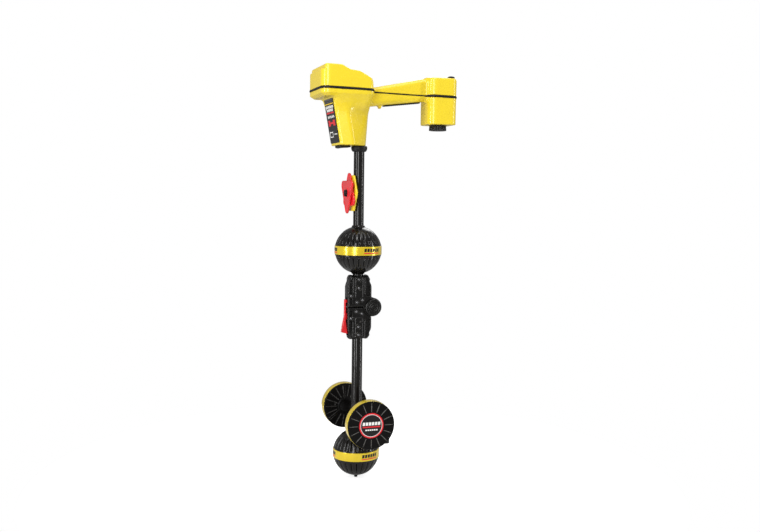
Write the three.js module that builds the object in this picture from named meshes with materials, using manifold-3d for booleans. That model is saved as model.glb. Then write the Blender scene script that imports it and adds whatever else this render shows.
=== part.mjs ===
// Folding hand-held locator for buried pipes and cables: a yellow control head with a handle and a
// battery box, a slim mast with a folding joint, two ball antennas and a pair of disc antennas.
// Millimetres. +Z is up along the mast, +X points rearwards to the handle, +Y to the right-hand side.
// The origin is the flat end of the tip under the lower ball, on the mast's axis.
import * as THREE from "three";
import { ConvexGeometry } from "three/addons/geometries/ConvexGeometry.js";
import { mergeVertices } from "three/addons/utils/BufferGeometryUtils.js";
import Module from "manifold-3d";

const wasm = await Module();
wasm.setup();

// ---- Driving dimensions -------------------------------------------------------------------------
// x0 and x1 are the front and rear of a piece, half its half width across Y, z0 and z1 its heights.
const GAP = 0.3; // left between pieces that touch
const WALL = 2.8; // moulded casing wall
const BEYOND = 60; // half width of a cutting block that clears the whole object

const MAST_R = 10.2;
const MAST_BORE = 8.2;
const MAST_TOP = 722;
const BORE_R = MAST_R + 0.4; // holes in the casing, the collar and the balls
const SOCKET_R = MAST_R + 0.35; // holes in the joint and the yoke, which grip the mast

// lip is the lower edge of the head's sides, and the tray slopes in from it
const HEAD = {
  x0: -87.2, x1: 13, half: 54.5, rFront: 16.5, rRear: 10, lip: 738, hood: 790.4, trayDrop: 5, trayIn: 8,
};
// the parting plane's height over the mast, its fall for each mm rearwards, and the rubber in it
const SEAM = { z: 746.2, fall: 0.02, thick: 4.4, proud: 1.2 };
const DISPLAY = { x0: -75, x1: -39, half: 39, z: 778, thick: 2.2, wellX0: -77, wellX1: -36.5, wellHalf: 46 };
const KEYPAD = { x: -14.5, z: 772.6, tilt: 0.344, length: 38, half: 44 };
const KEY = { width: 10, travel: 1.2, proud: 3, depth: 4.2, clearance: 0.5 };
// each key's place on the keypad: u rearwards and v to the right
const KEYS = [
  { name: "key_power", u: 8.5, v: -26, length: 15 },
  { name: "key_menu", u: -8.5, v: -26, length: 15 },
  { name: "key_up", u: -8.5, v: 0, length: 22 },
  { name: "key_select", u: 8.5, v: 0, length: 22 },
  { name: "key_sound", u: 0, v: 26, length: 15 },
];

const STEM = {
  top: 737, bottom: 645, half: 33.5, corner: 2.5, backR: 16,
  frontTop: -62.6, frontBottom: -46.2, rearTop: 19.5, rearBottom: 12,
  creaseTop: -39.5, creaseBottom: -21.6, creaseOut: 7,
};
const LABEL = { z0: 649, z1: 732, half: 30, proud: 0.9 };
const COLLAR = { z0: 634, r: 15.4 };

const HANDLE = {
  half: 17, r: 10, x0: 22, x1: 136, topFront: 755, topRear: 779, underFront: 720.5, underRear: 734.5,
};
const GRIP = { x0: 47, x1: 121, half: 6.8, thick: 2 };
const BOX = {
  x0: 131.5, x1: 190, half: 31, top: 778.8, bottom: 689.6, draft: 1.6, rFront: 16, rRear: 12,
};
const CELL = { r: 12.8, length: 50, z: 694.2, dx: 12.95, dy: 13.3, x: 160.6, capR: 3.2, cap: 2 };
const DOOR = { thick: 3.4, clearance: 0.4, hole: 3.4 };
const KNOB = { r: 17.2, x: 160.6, z0: 678.8, z1: 689.3, flutes: 18, fluteDepth: 1.1, stemR: 3, stemTop: 704 };
const JACK = { x: 180, y: -17, hole: 3, plug: 2.5, depth: 7 };

const BALL = { r: 45.2, wall: 2.6, band: 8.25, bandIn: 43.7, hub: 13.2, hubRise: 2.2 };
const UPPER_BALL_Z = 446.3;
const LOWER_BALL_Z = 50.6;
const TIP_R = 3.4;

const HINGE = { x: 26.8, z: 336, boss: 18, knuckle: 16, knuckleHalf: 6.5, pin: 5, cap: 16, capOut: 20.5 };
const JOINT = { half: 13, reach: 61, front: -23.1, rear: 25.2, corner: 8, socket: 16, shoulder: 42, earR: 6 };
const LEVER = { half: 4, z0: 285.5, z1: 351, x: -25.4, pivotX: -15.8, pivotZ: 318, pinR: 1.6 };

const MARKER = { z: 555, r: 38.7, pitch: 3.9, x: -13.4, post: 6.2, postX0: -27.4, postX1: -6 };
const DISC = { r: 45.7, y: 84.5, z: 125.2, half: 11, band: 7.5, wall: 2.3, inner: 41.6, step: 43.6 };
const FOOT = { x0: 20, x1: 39.2, drop0: 25.2, drop1: 39.4, out: 2.4 }; // socket below a disc's centre
const YOKE = { r: 15, z0: 104, z1: 122 };

// ---- Materials ----------------------------------------------------------------------------------
const paint = (color, roughness, metalness = 0) =>
  new THREE.MeshStandardMaterial({ color, roughness, metalness });
const YELLOW = paint(0xf3d51c, 0.35);
const BLACK = paint(0x1a1918, 0.4);
const RUBBER = paint(0x141414, 0.8);
const RED = paint(0xd8232a, 0.4);
const STEEL = paint(0xa8abb0, 0.35, 0.9);
const COPPER = paint(0xb06a3a, 0.4, 0.8);
const GLASS = paint(0x5a6a70, 0.1);
const BOARD = paint(0x1f6b43, 0.6);
const GREY = paint(0x9aa39a, 0.5);

// ---- Solids from three.js shapes ----------------------------------------------------------------
// A closed geometry as a manifold-3d solid facing outwards.
function solid(geometry) {
  const bare = new THREE.BufferGeometry();
  bare.setAttribute("position", geometry.getAttribute("position"));
  if (geometry.index) bare.setIndex(geometry.index);
  const merged = mergeVertices(bare, 1e-4);
  const vertProperties = merged.attributes.position.array;
  const make = (triVerts) => new wasm.Manifold(new wasm.Mesh({ numProp: 3, vertProperties, triVerts }));
  const faces = new Uint32Array(merged.index.array);
  const made = make(faces);
  return made.volume() > 0 ? made : make(faces.slice().reverse());
}

const join = (...pieces) => pieces.reduce((sum, piece) => sum.add(piece));
const cut = (from, ...pieces) => pieces.reduce((rest, piece) => rest.subtract(piece), from);

// The named mesh of a solid.
function mesh(name, made, material) {
  const { vertProperties, triVerts } = made.getMesh();
  const geometry = new THREE.BufferGeometry();
  geometry.setAttribute("position", new THREE.BufferAttribute(vertProperties, 3));
  geometry.setIndex(new THREE.BufferAttribute(triVerts, 1));
  geometry.computeVertexNormals();
  const result = new THREE.Mesh(geometry, material);
  result.name = name;
  return result;
}

const { degToRad, lerp, radToDeg } = THREE.MathUtils;
const outlineShape = (points) => new THREE.Shape(points.map(([x, y]) => new THREE.Vector2(x, y)));
const extruded = (shape, depth, curveSegments) =>
  new THREE.ExtrudeGeometry(shape, { depth, bevelEnabled: false, curveSegments });

function block(x0, x1, y0, y1, z0, z1) {
  const box = new THREE.BoxGeometry(x1 - x0, y1 - y0, z1 - z0);
  return solid(box.translate((x0 + x1) / 2, (y0 + y1) / 2, (z0 + z1) / 2));
}

// A shape in X and Y, raised from z0 to z1.
const raised = (shape, z0, z1) => solid(extruded(shape, z1 - z0, 4).translate(0, 0, z0));
const prism = (points, z0, z1) => raised(outlineShape(points), z0, z1);

// An outline in X and Z, swept across from y0 to y1.
const slab = (points, y0, y1) =>
  solid(extruded(outlineShape(points), y1 - y0, 1).rotateX(Math.PI / 2).translate(0, y1, 0));

// A closed outline of radius and height, turned about the vertical axis.
function turned(outline, segments = 28) {
  const loop = [...outline, outline[0]].map(([r, z]) => new THREE.Vector2(r, z));
  return solid(new THREE.LatheGeometry(loop, segments).rotateX(Math.PI / 2));
}

// A hollow cylinder between two radii and two heights.
const ring = (inner, outer, z0, z1, segments = 28) =>
  turned([[inner, z0], [outer, z0], [outer, z1], [inner, z1]], segments);

// An upright cylinder on the origin's axis.
function post(r, z0, z1, segments = 24) {
  const cylinder = new THREE.CylinderGeometry(r, r, z1 - z0, segments);
  return solid(cylinder.rotateX(Math.PI / 2).translate(0, 0, (z0 + z1) / 2));
}

// A cylinder along Y about the line x, z.
const crossPost = (r, y0, y1, x, z, segments = 24) =>
  solid(new THREE.CylinderGeometry(r, r, y1 - y0, segments).translate(x, (y0 + y1) / 2, z));

// A cylinder along X about the line y = 0 at a height z.
function forePost(r, x0, x1, z, segments = 20) {
  const cylinder = new THREE.CylinderGeometry(r, r, x1 - x0, segments);
  return solid(cylinder.rotateZ(Math.PI / 2).translate((x0 + x1) / 2, 0, z));
}

// The convex body round several flat rings, each a list of points [x, y] at its own height.
function drafted(...rings) {
  const points = rings.flatMap(([plan, z]) => plan.map(([x, y]) => new THREE.Vector3(x, y, z)));
  return solid(new ConvexGeometry(points));
}

// The corner points of a rounded rectangle in X and Y, symmetric about X.
function roundedRing(x0, x1, half, rFront, rRear, steps = 5) {
  const corners = [
    [x1 - rRear, half - rRear, rRear, 0],
    [x0 + rFront, half - rFront, rFront, 90],
    [x0 + rFront, rFront - half, rFront, 180],
    [x1 - rRear, rRear - half, rRear, 270],
  ];
  const points = [];
  for (const [x, y, r, from] of corners)
    for (let i = 0; i <= steps; i++) {
      const turn = degToRad(from + (90 * i) / steps);
      points.push([x + r * Math.cos(turn), y + r * Math.sin(turn)]);
    }
  return points;
}

// A plan's points moved inwards, towards the line x = cx and the line y = 0.
const inset = (plan, by, cx) =>
  plan.map(([x, y]) => [x + Math.sign(cx - x) * by, y - Math.sign(y) * by]);

// Everything above (+1) or below (-1) the sloping parting plane, shifted up by rise.
function seamSide(side, rise) {
  const front = 2 * HEAD.x0;
  const rear = 2 * BOX.x1;
  const at = (x) => SEAM.z - SEAM.fall * x + rise;
  const far = SEAM.z + side * 200;
  return slab([[front, at(front)], [rear, at(rear)], [rear, far], [front, far]], -BEYOND, BEYOND);
}

// ---- Casing of the head, stem, handle and battery box ---------------------------------------------
// A value of the stem that changes evenly from its top to its bottom.
const alongStem = (z, atTop, atBottom) =>
  lerp(atTop, atBottom, (STEM.top - z) / (STEM.top - STEM.bottom));

const stemFront = (z) => alongStem(z, STEM.frontTop, STEM.frontBottom);

// The stem's plan at a height, wall inside its surface: a flat front, a crease on each flank and a
// round back.
function stemRing(z, wall = 0) {
  const front = stemFront(z) + wall;
  const rear = alongStem(z, STEM.rearTop, STEM.rearBottom) - wall;
  const crease = alongStem(z, STEM.creaseTop, STEM.creaseBottom);
  const half = STEM.half - wall;
  const r = STEM.backR - wall;
  const plan = [[rear, 0]];
  for (const side of [-1, 1]) {
    plan.push([front, side * (half - STEM.corner)]);
    plan.push([front + STEM.corner, side * half]);
    plan.push([crease, side * (half + STEM.creaseOut)]);
    for (const turn of [22, 45, 68].map(degToRad))
      plan.push([rear - r + r * Math.cos(turn), side * r * Math.sin(turn)]);
  }
  return plan;
}

const stemOuter = () => drafted([stemRing(STEM.top), STEM.top], [stemRing(STEM.bottom), STEM.bottom]);

// The head seen from the side, with the sun hood in front and the keypad's slope behind it.
const headSide = () =>
  slab(
    [
      [-100, 700], [-100, 781], [-81.8, 781.6], [-81.8, 787.5], [-79.5, HEAD.hood],
      [-50, 789.6], [-34, 781.6], [-16.6, 779.8], [-4.7, 774], [8, 767], [11.4, 760.8],
      [HEAD.x1, 749.4], [HEAD.x1, 700],
    ],
    -BEYOND,
    BEYOND,
  );

function headOuter() {
  const plan = roundedRing(HEAD.x0, HEAD.x1, HEAD.half, HEAD.rFront, HEAD.rRear);
  const middle = (HEAD.x0 + HEAD.x1) / 2;
  const upper = prism(plan, HEAD.lip, HEAD.hood + 10).intersect(headSide());
  const tray = drafted([plan, HEAD.lip], [inset(plan, HEAD.trayIn, middle), HEAD.lip - HEAD.trayDrop]);
  return join(upper, tray);
}

// The flare that carries the head's sides down into the stem.
function flareOuter() {
  const high = roundedRing(-60, HEAD.x1, 53.5, 10, 10, 3);
  const middle = roundedRing(-42, 14, 44, 8, 12, 3);
  return join(
    drafted([high, STEM.top], [middle, STEM.top - 18]),
    drafted([middle, STEM.top - 17.5], [stemRing(STEM.top - 33), STEM.top - 33]),
  );
}

function handleOuter() {
  const { half, r, x0, x1, topFront, topRear, underFront, underRear } = HANDLE;
  const section = (x, under, top, halfWidth) =>
    roundedRing(under, top, halfWidth, r, r, 4).map(([z, y]) => new THREE.Vector3(x, y, z));
  const between = (...sections) => solid(new ConvexGeometry(sections.flat()));
  const front = section(x0, underFront, topFront, half);
  const neck = between(section(4, 716, 748, half + 2), front);
  return join(neck, between(front, section(x1, underRear, topRear, half)));
}

// The battery box's plan, wall inside its surface, with the rear face drawn in by draft.
const boxRing = (wall = 0, draft = 0) =>
  roundedRing(
    BOX.x0 + wall,
    BOX.x1 - wall - draft,
    BOX.half - wall,
    BOX.rFront - wall,
    BOX.rRear - wall,
  );

const boxOuter = () =>
  drafted(
    [boxRing(5.5), BOX.top],
    [boxRing(1.6), BOX.top - 1.6],
    [boxRing(), BOX.top - 5.5],
    [boxRing(0, BOX.draft), BOX.bottom + 1.2],
    [boxRing(1.2, BOX.draft), BOX.bottom],
  );

// The pointed finger stop under the front of the handle.
const fingerStop = () => slab([[33, 726], [38.6, 717], [41.2, 717], [45.5, 726]], -5, 5);

function casingCavity() {
  const floor = HEAD.lip - 1;
  const plan = roundedRing(HEAD.x0 + WALL, 10, HEAD.half - WALL, HEAD.rFront - WALL, HEAD.rRear - WALL);
  const side = [
    [HEAD.x0 + WALL, floor], [HEAD.x0 + WALL, 775.2], [-31, 775.2], [4, 762.4], [10, 757], [10, floor],
  ];
  const head = prism(plan, floor - 7, HEAD.hood).intersect(slab(side, -BEYOND, BEYOND));
  const stemTop = STEM.top + 1;
  const stemFloor = STEM.bottom + 3;
  const stem = drafted([stemRing(stemTop, WALL), stemTop], [stemRing(stemFloor, WALL), stemFloor]);
  const duct = block(0, BOX.x0 + 8.5, -12, 12, 731, 748);
  const cells = prism(boxRing(WALL), BOX.bottom - 1, BOX.top - 4.3);
  return join(head, stem, duct, cells, post(BORE_R, STEM.bottom - 1, STEM.top + 3, 32));
}

// Moves a shape drawn flat about the origin onto the sloping keypad.
const ontoKeypad = (shape) => shape.rotate([0, radToDeg(KEYPAD.tilt), 0]).translate([KEYPAD.x, 0, KEYPAD.z]);

// A key's outline, with round ends, grown by more.
function keyOutline({ u, v, length }, more = 0) {
  const r = KEY.width / 2 + more;
  const reach = (length - KEY.width) / 2;
  const shape = new THREE.Shape();
  shape.absarc(u, v + reach, r, 0, Math.PI);
  shape.absarc(u, v - reach, r, Math.PI, 2 * Math.PI);
  return shape;
}

function casings() {
  const outer = join(headOuter(), flareOuter(), handleOuter(), boxOuter(), fingerStop(), stemOuter());
  const shell = cut(outer, casingCavity());
  const { wellX0, wellX1, wellHalf, x0, x1, half, z } = DISPLAY;
  const above = HEAD.hood + 10;
  const openings = [
    block(wellX0, wellX1, -wellHalf, wellHalf, z, above),
    block(x0 + 3, x1 - 3, 3 - half, half - 3, z - 8, above),
    ontoKeypad(block(-KEYPAD.length / 2, KEYPAD.length / 2, -KEYPAD.half, KEYPAD.half, 0, 20)),
    post(JACK.hole, BOX.top - 9, above, 16).translate([JACK.x, JACK.y, 0]),
    ...KEYS.map((key) => ontoKeypad(raised(keyOutline(key, KEY.clearance), -8, 8))),
  ];
  const clear = (SEAM.thick + GAP) / 2;
  return [
    mesh("upper_casing", cut(shell.intersect(seamSide(1, clear)), ...openings), YELLOW),
    mesh("lower_casing", shell.intersect(seamSide(-1, -clear)), YELLOW),
  ];
}

// The rubber seal in the parting plane: proud of the head and the box, flush along the handle.
function seamGasket() {
  const z0 = SEAM.z - 16;
  const z1 = SEAM.z + 14;
  const around = ({ x0, x1, half, rFront, rRear }) =>
    cut(
      prism(roundedRing(x0 - SEAM.proud, x1 + SEAM.proud, half + SEAM.proud, rFront, rRear), z0, z1),
      prism(roundedRing(x0 + WALL, x1 - WALL, half - WALL, rFront - WALL, rRear - WALL), z0 - 9, z1 + 9),
    );
  const railOut = HANDLE.half - 0.4;
  const railIn = HANDLE.half - 4;
  const whole = join(
    around(HEAD),
    around(BOX),
    block(HEAD.x1 - 2, BOX.x0 + 2, -railOut, -railIn, z0, z1),
    block(HEAD.x1 - 2, BOX.x0 + 2, railIn, railOut, z0, z1),
  );
  const clear = (SEAM.thick - GAP) / 2;
  return mesh("seam_gasket", whole.intersect(seamSide(1, -clear)).intersect(seamSide(-1, clear)), RUBBER);
}

// ---- Display, keys and electronics in the head ----------------------------------------------------
// The loudspeaker hangs under the front of the main board.
const speaker = () =>
  turned([[0, 739.5], [9, 739.5], [15, 745], [16, 745], [16, 750], [0, 750]], 24).translate([-62, 0, 0]);

function electronics() {
  const { x0, x1, half, z, thick } = DISPLAY;
  return [
    mesh("display_window", block(x0, x1, -half, half, z + GAP, z + thick), GLASS),
    mesh("lcd_panel", block(x0 + 1, x1 - 1, 2 - half, half - 2, z - 8.5, z - 3.4), GREY),
    mesh("main_board", block(-78, 2, -46, 46, 750.5, 752.1), BOARD),
    mesh("speaker", speaker(), BLACK),
    mesh("keypad_mat", ontoKeypad(block(-14, 15, -40, 40, -7.8, -6.2)), RUBBER),
  ];
}

// Each key stands in its own hole, with a flange below the wall that keeps it in.
function keys() {
  const underWall = -3.4;
  const matTop = -6;
  return KEYS.map((key) => {
    const cap = raised(keyOutline(key), -KEY.depth, KEY.proud);
    const flange = raised(keyOutline(key, 1), matTop + KEY.travel + GAP, underWall);
    return mesh(key.name, ontoKeypad(join(cap, flange)), key.name === "key_power" ? RED : RUBBER);
  });
}

// ---- Handle and battery box fittings --------------------------------------------------------------
function jackCap() {
  const z = BOX.top + GAP;
  const dome = turned([[0, z], [7.6, z], [7.2, z + 1.9], [5.4, z + 3.5], [2.6, z + 4.3], [0, z + 4.4]], 18);
  const plug = post(JACK.plug, z - JACK.depth, z + 1, 16);
  return mesh("jack_cap", join(dome, plug).translate([JACK.x, JACK.y, 0]), RUBBER);
}

function gripStrip() {
  const { x0, x1, half, thick } = GRIP;
  const slope = (HANDLE.underRear - HANDLE.underFront) / (HANDLE.x1 - HANDLE.x0);
  const under = (x) => HANDLE.underFront + slope * (x - HANDLE.x0) - GAP;
  const low = (x) => [x, under(x) - thick];
  const outline = [low(x0 + 1), low(x1 - 1), [x1, under(x1)], [x0, under(x0)]];
  return mesh("grip_strip", slab(outline, -half, half), RUBBER);
}

// One C cell; sx and sy pick its place in the two by two block.
function cell(sx, sy) {
  const { r, length, z, dx, dy, x, capR, cap } = CELL;
  const top = z + length;
  const outline = [[0, z], [r, z], [r, top - cap], [capR, top - cap], [capR, top], [0, top]];
  return turned(outline, 20).translate([x + sx * dx, sy * dy, 0]);
}

// The knurled knob, whose stem passes through the door between the cells.
function doorKnob() {
  const points = Array.from({ length: 2 * KNOB.flutes }, (_, i) => {
    const turn = (i * Math.PI) / KNOB.flutes;
    const r = KNOB.r - (i % 2) * KNOB.fluteDepth;
    return [r * Math.cos(turn), r * Math.sin(turn)];
  });
  const stem = post(KNOB.stemR, KNOB.z1 - 1, KNOB.stemTop, 16);
  return join(prism(points, KNOB.z0, KNOB.z1), stem).translate([KNOB.x, 0, 0]);
}

function batteryBay() {
  const door = cut(
    prism(boxRing(WALL + DOOR.clearance), BOX.bottom, BOX.bottom + DOOR.thick),
    post(DOOR.hole, KNOB.z0, KNOB.stemTop, 16).translate([KNOB.x, 0, 0]),
  );
  const places = [[-1, -1], [1, -1], [1, 1], [-1, 1]];
  const cells = places.map(([sx, sy], i) => mesh(`battery_cell_${i + 1}`, cell(sx, sy), STEEL));
  const contacts = CELL.z + CELL.length + 1.8;
  const plate = prism(boxRing(WALL + 0.8), contacts, contacts + 1.8);
  return [
    mesh("battery_door", door, YELLOW),
    mesh("door_knob", doorKnob(), BLACK),
    ...cells,
    mesh("contact_plate", plate, BOARD),
  ];
}

// ---- Stem fittings and mast -----------------------------------------------------------------------
function stemFittings() {
  const { z0, z1, half, proud } = LABEL;
  const off = (z, by) => [stemFront(z) - by, z];
  const label = slab([off(z0, GAP), off(z0, proud), off(z1, proud), off(z1, GAP)], -half, half);
  const top = STEM.bottom - GAP;
  const collar = turned(
    [
      [BORE_R, COLLAR.z0], [12.4, COLLAR.z0], [14.6, COLLAR.z0 + 2.4], [COLLAR.r, COLLAR.z0 + 6],
      [COLLAR.r, COLLAR.z0 + 9], [14.8, top], [BORE_R, top],
    ],
    18,
  );
  const flap = slab(
    [[-20, top], [-43.5, top], [-45, 642.6], [-43.5, 640.2], [-38, 639.6], [-32, 641], [-20, 641.6]],
    -15,
    15,
  );
  return [
    mesh("stem_label", label, BLACK),
    mesh("mast_collar", collar, RUBBER),
    mesh("port_flap", flap, RUBBER),
  ];
}

function masts() {
  const end = JOINT.socket + 1;
  const upper = cut(
    ring(MAST_BORE, MAST_R, HINGE.z + end, MAST_TOP, 24),
    forePost(MARKER.post + GAP, -20, -3, MARKER.z),
  );
  return [
    mesh("upper_mast", upper, BLACK),
    mesh("lower_mast", ring(MAST_BORE, MAST_R, 13, HINGE.z - end, 24), BLACK),
  ];
}

// ---- Marker chips on their rubber post ------------------------------------------------------------
// A chip with rounded corners and a hole, in front of the mast with its rear face at x.
function chip(corners, turn, x) {
  const cornerR = corners === 3 ? 9 : 4;
  const reach = MARKER.r - cornerR;
  const sweep = Math.PI / corners;
  const shape = new THREE.Shape();
  for (let i = 0; i < corners; i++) {
    const angle = turn + i * 2 * sweep;
    shape.absarc(reach * Math.cos(angle), reach * Math.sin(angle), cornerR, angle - sweep, angle + sweep);
  }
  const hole = new THREE.Path();
  hole.absarc(0, 0, MARKER.post + 0.6, 0, 2 * Math.PI, true);
  shape.holes.push(hole);
  const thick = MARKER.pitch - GAP;
  // the outline's x becomes Y and its y becomes Z
  const upright = extruded(shape, thick, 5).rotateX(Math.PI / 2).rotateZ(Math.PI / 2);
  return solid(upright.translate(x - thick, 0, MARKER.z));
}

function markers() {
  const at = (i) => MARKER.x - i * MARKER.pitch;
  return [
    mesh("marker_post", forePost(MARKER.post, MARKER.postX0, MARKER.postX1, MARKER.z), RUBBER),
    mesh("marker_yellow", chip(6, 0, at(0)), YELLOW),
    mesh("marker_red_rear", chip(3, Math.PI / 2, at(1)), RED),
    mesh("marker_red_front", chip(3, -Math.PI / 2, at(2)), RED),
  ];
}

// ---- Ball antennas --------------------------------------------------------------------------------
// Half a ball about z = 0, +1 for the top. Its opening has the radius hole, in a hub of its own radius
// that rises above the ball.
function ballShell(side, hole, hub, rise) {
  const inner = BALL.r - BALL.wall;
  const bandTop = BALL.band + GAP;
  const arc = (r, from, to, steps) =>
    Array.from({ length: steps + 1 }, (_, i) => {
      const turn = lerp(from, to, i / steps);
      return [r * Math.cos(turn), r * Math.sin(turn)];
    });
  const outline = [
    [inner - 1.6, GAP / 2],
    [inner + 0.6, GAP / 2],
    [inner + 0.6, bandTop],
    ...arc(BALL.r, Math.asin(bandTop / BALL.r), Math.acos(hub / BALL.r), 5),
    [hub - 1.2, BALL.r + rise],
    [hole, BALL.r + rise],
    ...arc(inner - 1, Math.acos(hole / (inner - 1)), Math.asin(bandTop / inner), 3),
  ];
  return turned(outline.map(([r, z]) => [r, side * z]));
}

// Three antenna coils at right angles, round the mast.
function windings() {
  const upright = ring(28, 34, 11.5, 16.5, 18);
  return join(ring(29, 37, -4, 4, 18), upright.rotate([90, 0, 0]), upright.rotate([-90, 0, 0]));
}

function ball(prefix, z, bottomShell) {
  const group = new THREE.Group();
  group.position.z = z;
  group.add(
    mesh(`${prefix}_ball_top`, ballShell(1, BORE_R, BALL.hub, BALL.hubRise), BLACK),
    mesh(`${prefix}_ball_bottom`, bottomShell, BLACK),
    mesh(`${prefix}_ball_band`, ring(BALL.bandIn, BALL.r + 0.2, -BALL.band, BALL.band), YELLOW),
    mesh(`${prefix}_windings`, windings(), COPPER),
  );
  return group;
}

const baseTip = () => mesh("base_tip", join(post(TIP_R, 0, 11, 20), post(6.5, 10.7, 12.6, 20)), RUBBER);

// ---- Folding joint --------------------------------------------------------------------------------
const leverPin = (more = 0) =>
  crossPost(LEVER.pinR + more, -10 - more, 10 + more, LEVER.pivotX, LEVER.pivotZ, 12);

const catchBar = (more = 0) =>
  block(-16.2 - more, -12.8 + more, -10 - more, 10 + more, 340.5 - more, 343.5 + more);

// A cylinder about the hinge's axis, from y0 to y1.
const onHinge = (r, y0, y1, segments) => crossPost(r, y0, y1, HINGE.x, HINGE.z, segments);

// Both of a pair of cylinders about the hinge's axis, between two distances from the middle.
const hingePair = (r, from, to) => [onHinge(r, -to, -from), onHinge(r, from, to)];

// The knuckles that one moulding keeps and the room that it leaves for the other one's.
function hingeParts(side) {
  const { boss, knuckle, knuckleHalf } = HINGE;
  const play = 0.4;
  if (side > 0)
    return {
      knuckles: hingePair(boss, knuckleHalf + play, JOINT.half),
      reliefs: [onHinge(knuckle + 0.5, -knuckleHalf - play, knuckleHalf + play)],
    };
  return {
    knuckles: [onHinge(knuckle, -knuckleHalf, knuckleHalf)],
    reliefs: hingePair(boss + 0.5, knuckleHalf + play / 2, JOINT.half + 5),
  };
}

// One moulding from the hinge plane out to its end; side is +1 for the upper one.
function jointBody(side) {
  const { front, rear, half, corner, reach, shoulder, socket, earR } = JOINT;
  const z = (d) => HINGE.z + side * d;
  const plan = roundedRing(front, rear, half, corner, corner, 4);
  const end = roundedRing(front + 4, rear - 4, half - 1.5, 7, 7, 4);
  const body = drafted(
    [plan, z(GAP)],
    [plan, z(shoulder)],
    [end, z(reach - 3)],
    [inset(end, 3, 0), z(reach)],
  );
  const ears = [-14.5, 15.5].map((x) => crossPost(earR, -5, 5, x, z(reach - 4.5), 16));
  const { knuckles, reliefs } = hingeParts(side);
  const channel =
    side > 0
      ? block(-40, -16.5, -LEVER.half - 1, LEVER.half + 1, HINGE.z, LEVER.z1 + 4)
      : block(-40, -13, -LEVER.half - 2, LEVER.half + 2, HINGE.z - 55, HINGE.z + 1);
  const bore = side > 0 ? post(SOCKET_R, z(socket), z(80)) : post(SOCKET_R, z(80), z(socket));
  return cut(
    join(cut(join(body, ...ears), ...reliefs), ...knuckles),
    channel,
    onHinge(HINGE.pin + GAP, -30, 30, 20),
    bore,
    side > 0 ? catchBar(GAP) : leverPin(GAP),
  );
}

function jointHalves(side, level) {
  const whole = jointBody(side);
  const sideOf = (y0, y1) => whole.intersect(block(-BEYOND, BEYOND, y0, y1, HINGE.z - 100, HINGE.z + 100));
  return [
    mesh(`joint_${level}_left`, sideOf(-BEYOND, -GAP / 2), BLACK),
    mesh(`joint_${level}_right`, sideOf(GAP / 2, BEYOND), BLACK),
  ];
}

// The red lever: a flat strap, flared outwards at the thumb end, with a hook at the top.
function releaseLever() {
  const { x, z0, z1, half, pivotX, pivotZ, pinR } = LEVER;
  const strap = slab(
    [
      [x - 1.2, z1], [x + 1.2, z1], [x + 1.2, 308], [x + 3.4, z0 + 6], [x + 4.6, z0 - 1], [x - 7.2, z0 + 2],
      [x - 5.6, z0 + 12], [x - 1.6, pivotZ],
    ],
    -half,
    half,
  );
  const hook = slab([[x, 350.6], [-16.7, 349], [-16.7, 345], [x, 345]], 0.5 - half, half - 0.5);
  const lug = slab([[x, 325], [pivotX + 1.4, 321], [pivotX + 1.4, 315], [x, 311]], -2, 2);
  return cut(join(strap, hook, lug), crossPost(pinR + 0.2, -10, 10, pivotX, pivotZ, 12));
}

// A torsion spring: a coil on each side of the lever's lug, joined by the leg behind it.
function leverSpring() {
  const { pivotX: x, pivotZ: z, pinR } = LEVER;
  const inner = pinR + 0.35;
  const coil = (y0, y1) => cut(crossPost(2.5, y0, y1, x, z, 14), crossPost(inner, y0 - 1, y1 + 1, x, z, 14));
  return join(coil(-5.2, -2.4), coil(2.4, 5.2), block(x + inner + 0.02, x + 2.4, -5.2, 5.2, z - 1, z + 1));
}

// The cap over one end of the hinge pin; side is +1 for the right-hand one.
function hingeCap(side) {
  const { x, z, cap, capOut, pin } = HINGE;
  const from = JOINT.half + GAP;
  const outline = [[0, from], [cap, from], [cap, capOut - 1.6], [cap - 1.6, capOut], [0, capOut]];
  const disc = turned(outline, 24).rotate([-90 * side, 0, 0]).translate([x, 0, z]);
  return cut(disc, onHinge(pin + GAP, -JOINT.half - 3, JOINT.half + 3, 20));
}

const foldingJoint = () => [
  ...jointHalves(1, "upper"),
  ...jointHalves(-1, "lower"),
  mesh("hinge_pin", onHinge(HINGE.pin, -JOINT.half - 2.5, JOINT.half + 2.5, 20), STEEL),
  mesh("hinge_cap_left", hingeCap(-1), BLACK),
  mesh("hinge_cap_right", hingeCap(1), BLACK),
  mesh("release_lever", releaseLever(), RED),
  mesh("lever_pin", leverPin(), STEEL),
  mesh("lever_spring", leverSpring(), STEEL),
  mesh("latch_catch", catchBar(), STEEL),
];

// ---- Disc antennas on their yoke ------------------------------------------------------------------
// A cover about its own axis; side is +1 for the outer one, whose face looks away from the mast.
function discCover(side) {
  const { r, half, band, wall, inner, step } = DISC;
  const outline = [
    [0, half], [inner + 0.4, half], [r - 0.6, half - 2.4], [r - 0.2, band + GAP], [step, band + GAP],
    [step, GAP / 2], [inner, GAP / 2], [inner, half - wall], [0, half - wall],
  ];
  return turned(outline.map(([radius, z]) => [radius, side * z]));
}

// The socket under a disc's inner cover that takes the yoke's arm; down is the sign of local y there.
function discSocket(down) {
  const { r, half, band, wall, inner, step } = DISC;
  const [y0, y1] = [down * FOOT.drop0, down * FOOT.drop1].sort((a, b) => a - b);
  return cut(
    block(FOOT.x0, FOOT.x1, y0, y1, -half - FOOT.out, half - 2),
    post(inner, wall - half, half, 28),
    ring(step, r + 0.6, -band - GAP, half),
    post(r + 0.6, -0.2, half, 28),
  );
}

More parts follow.
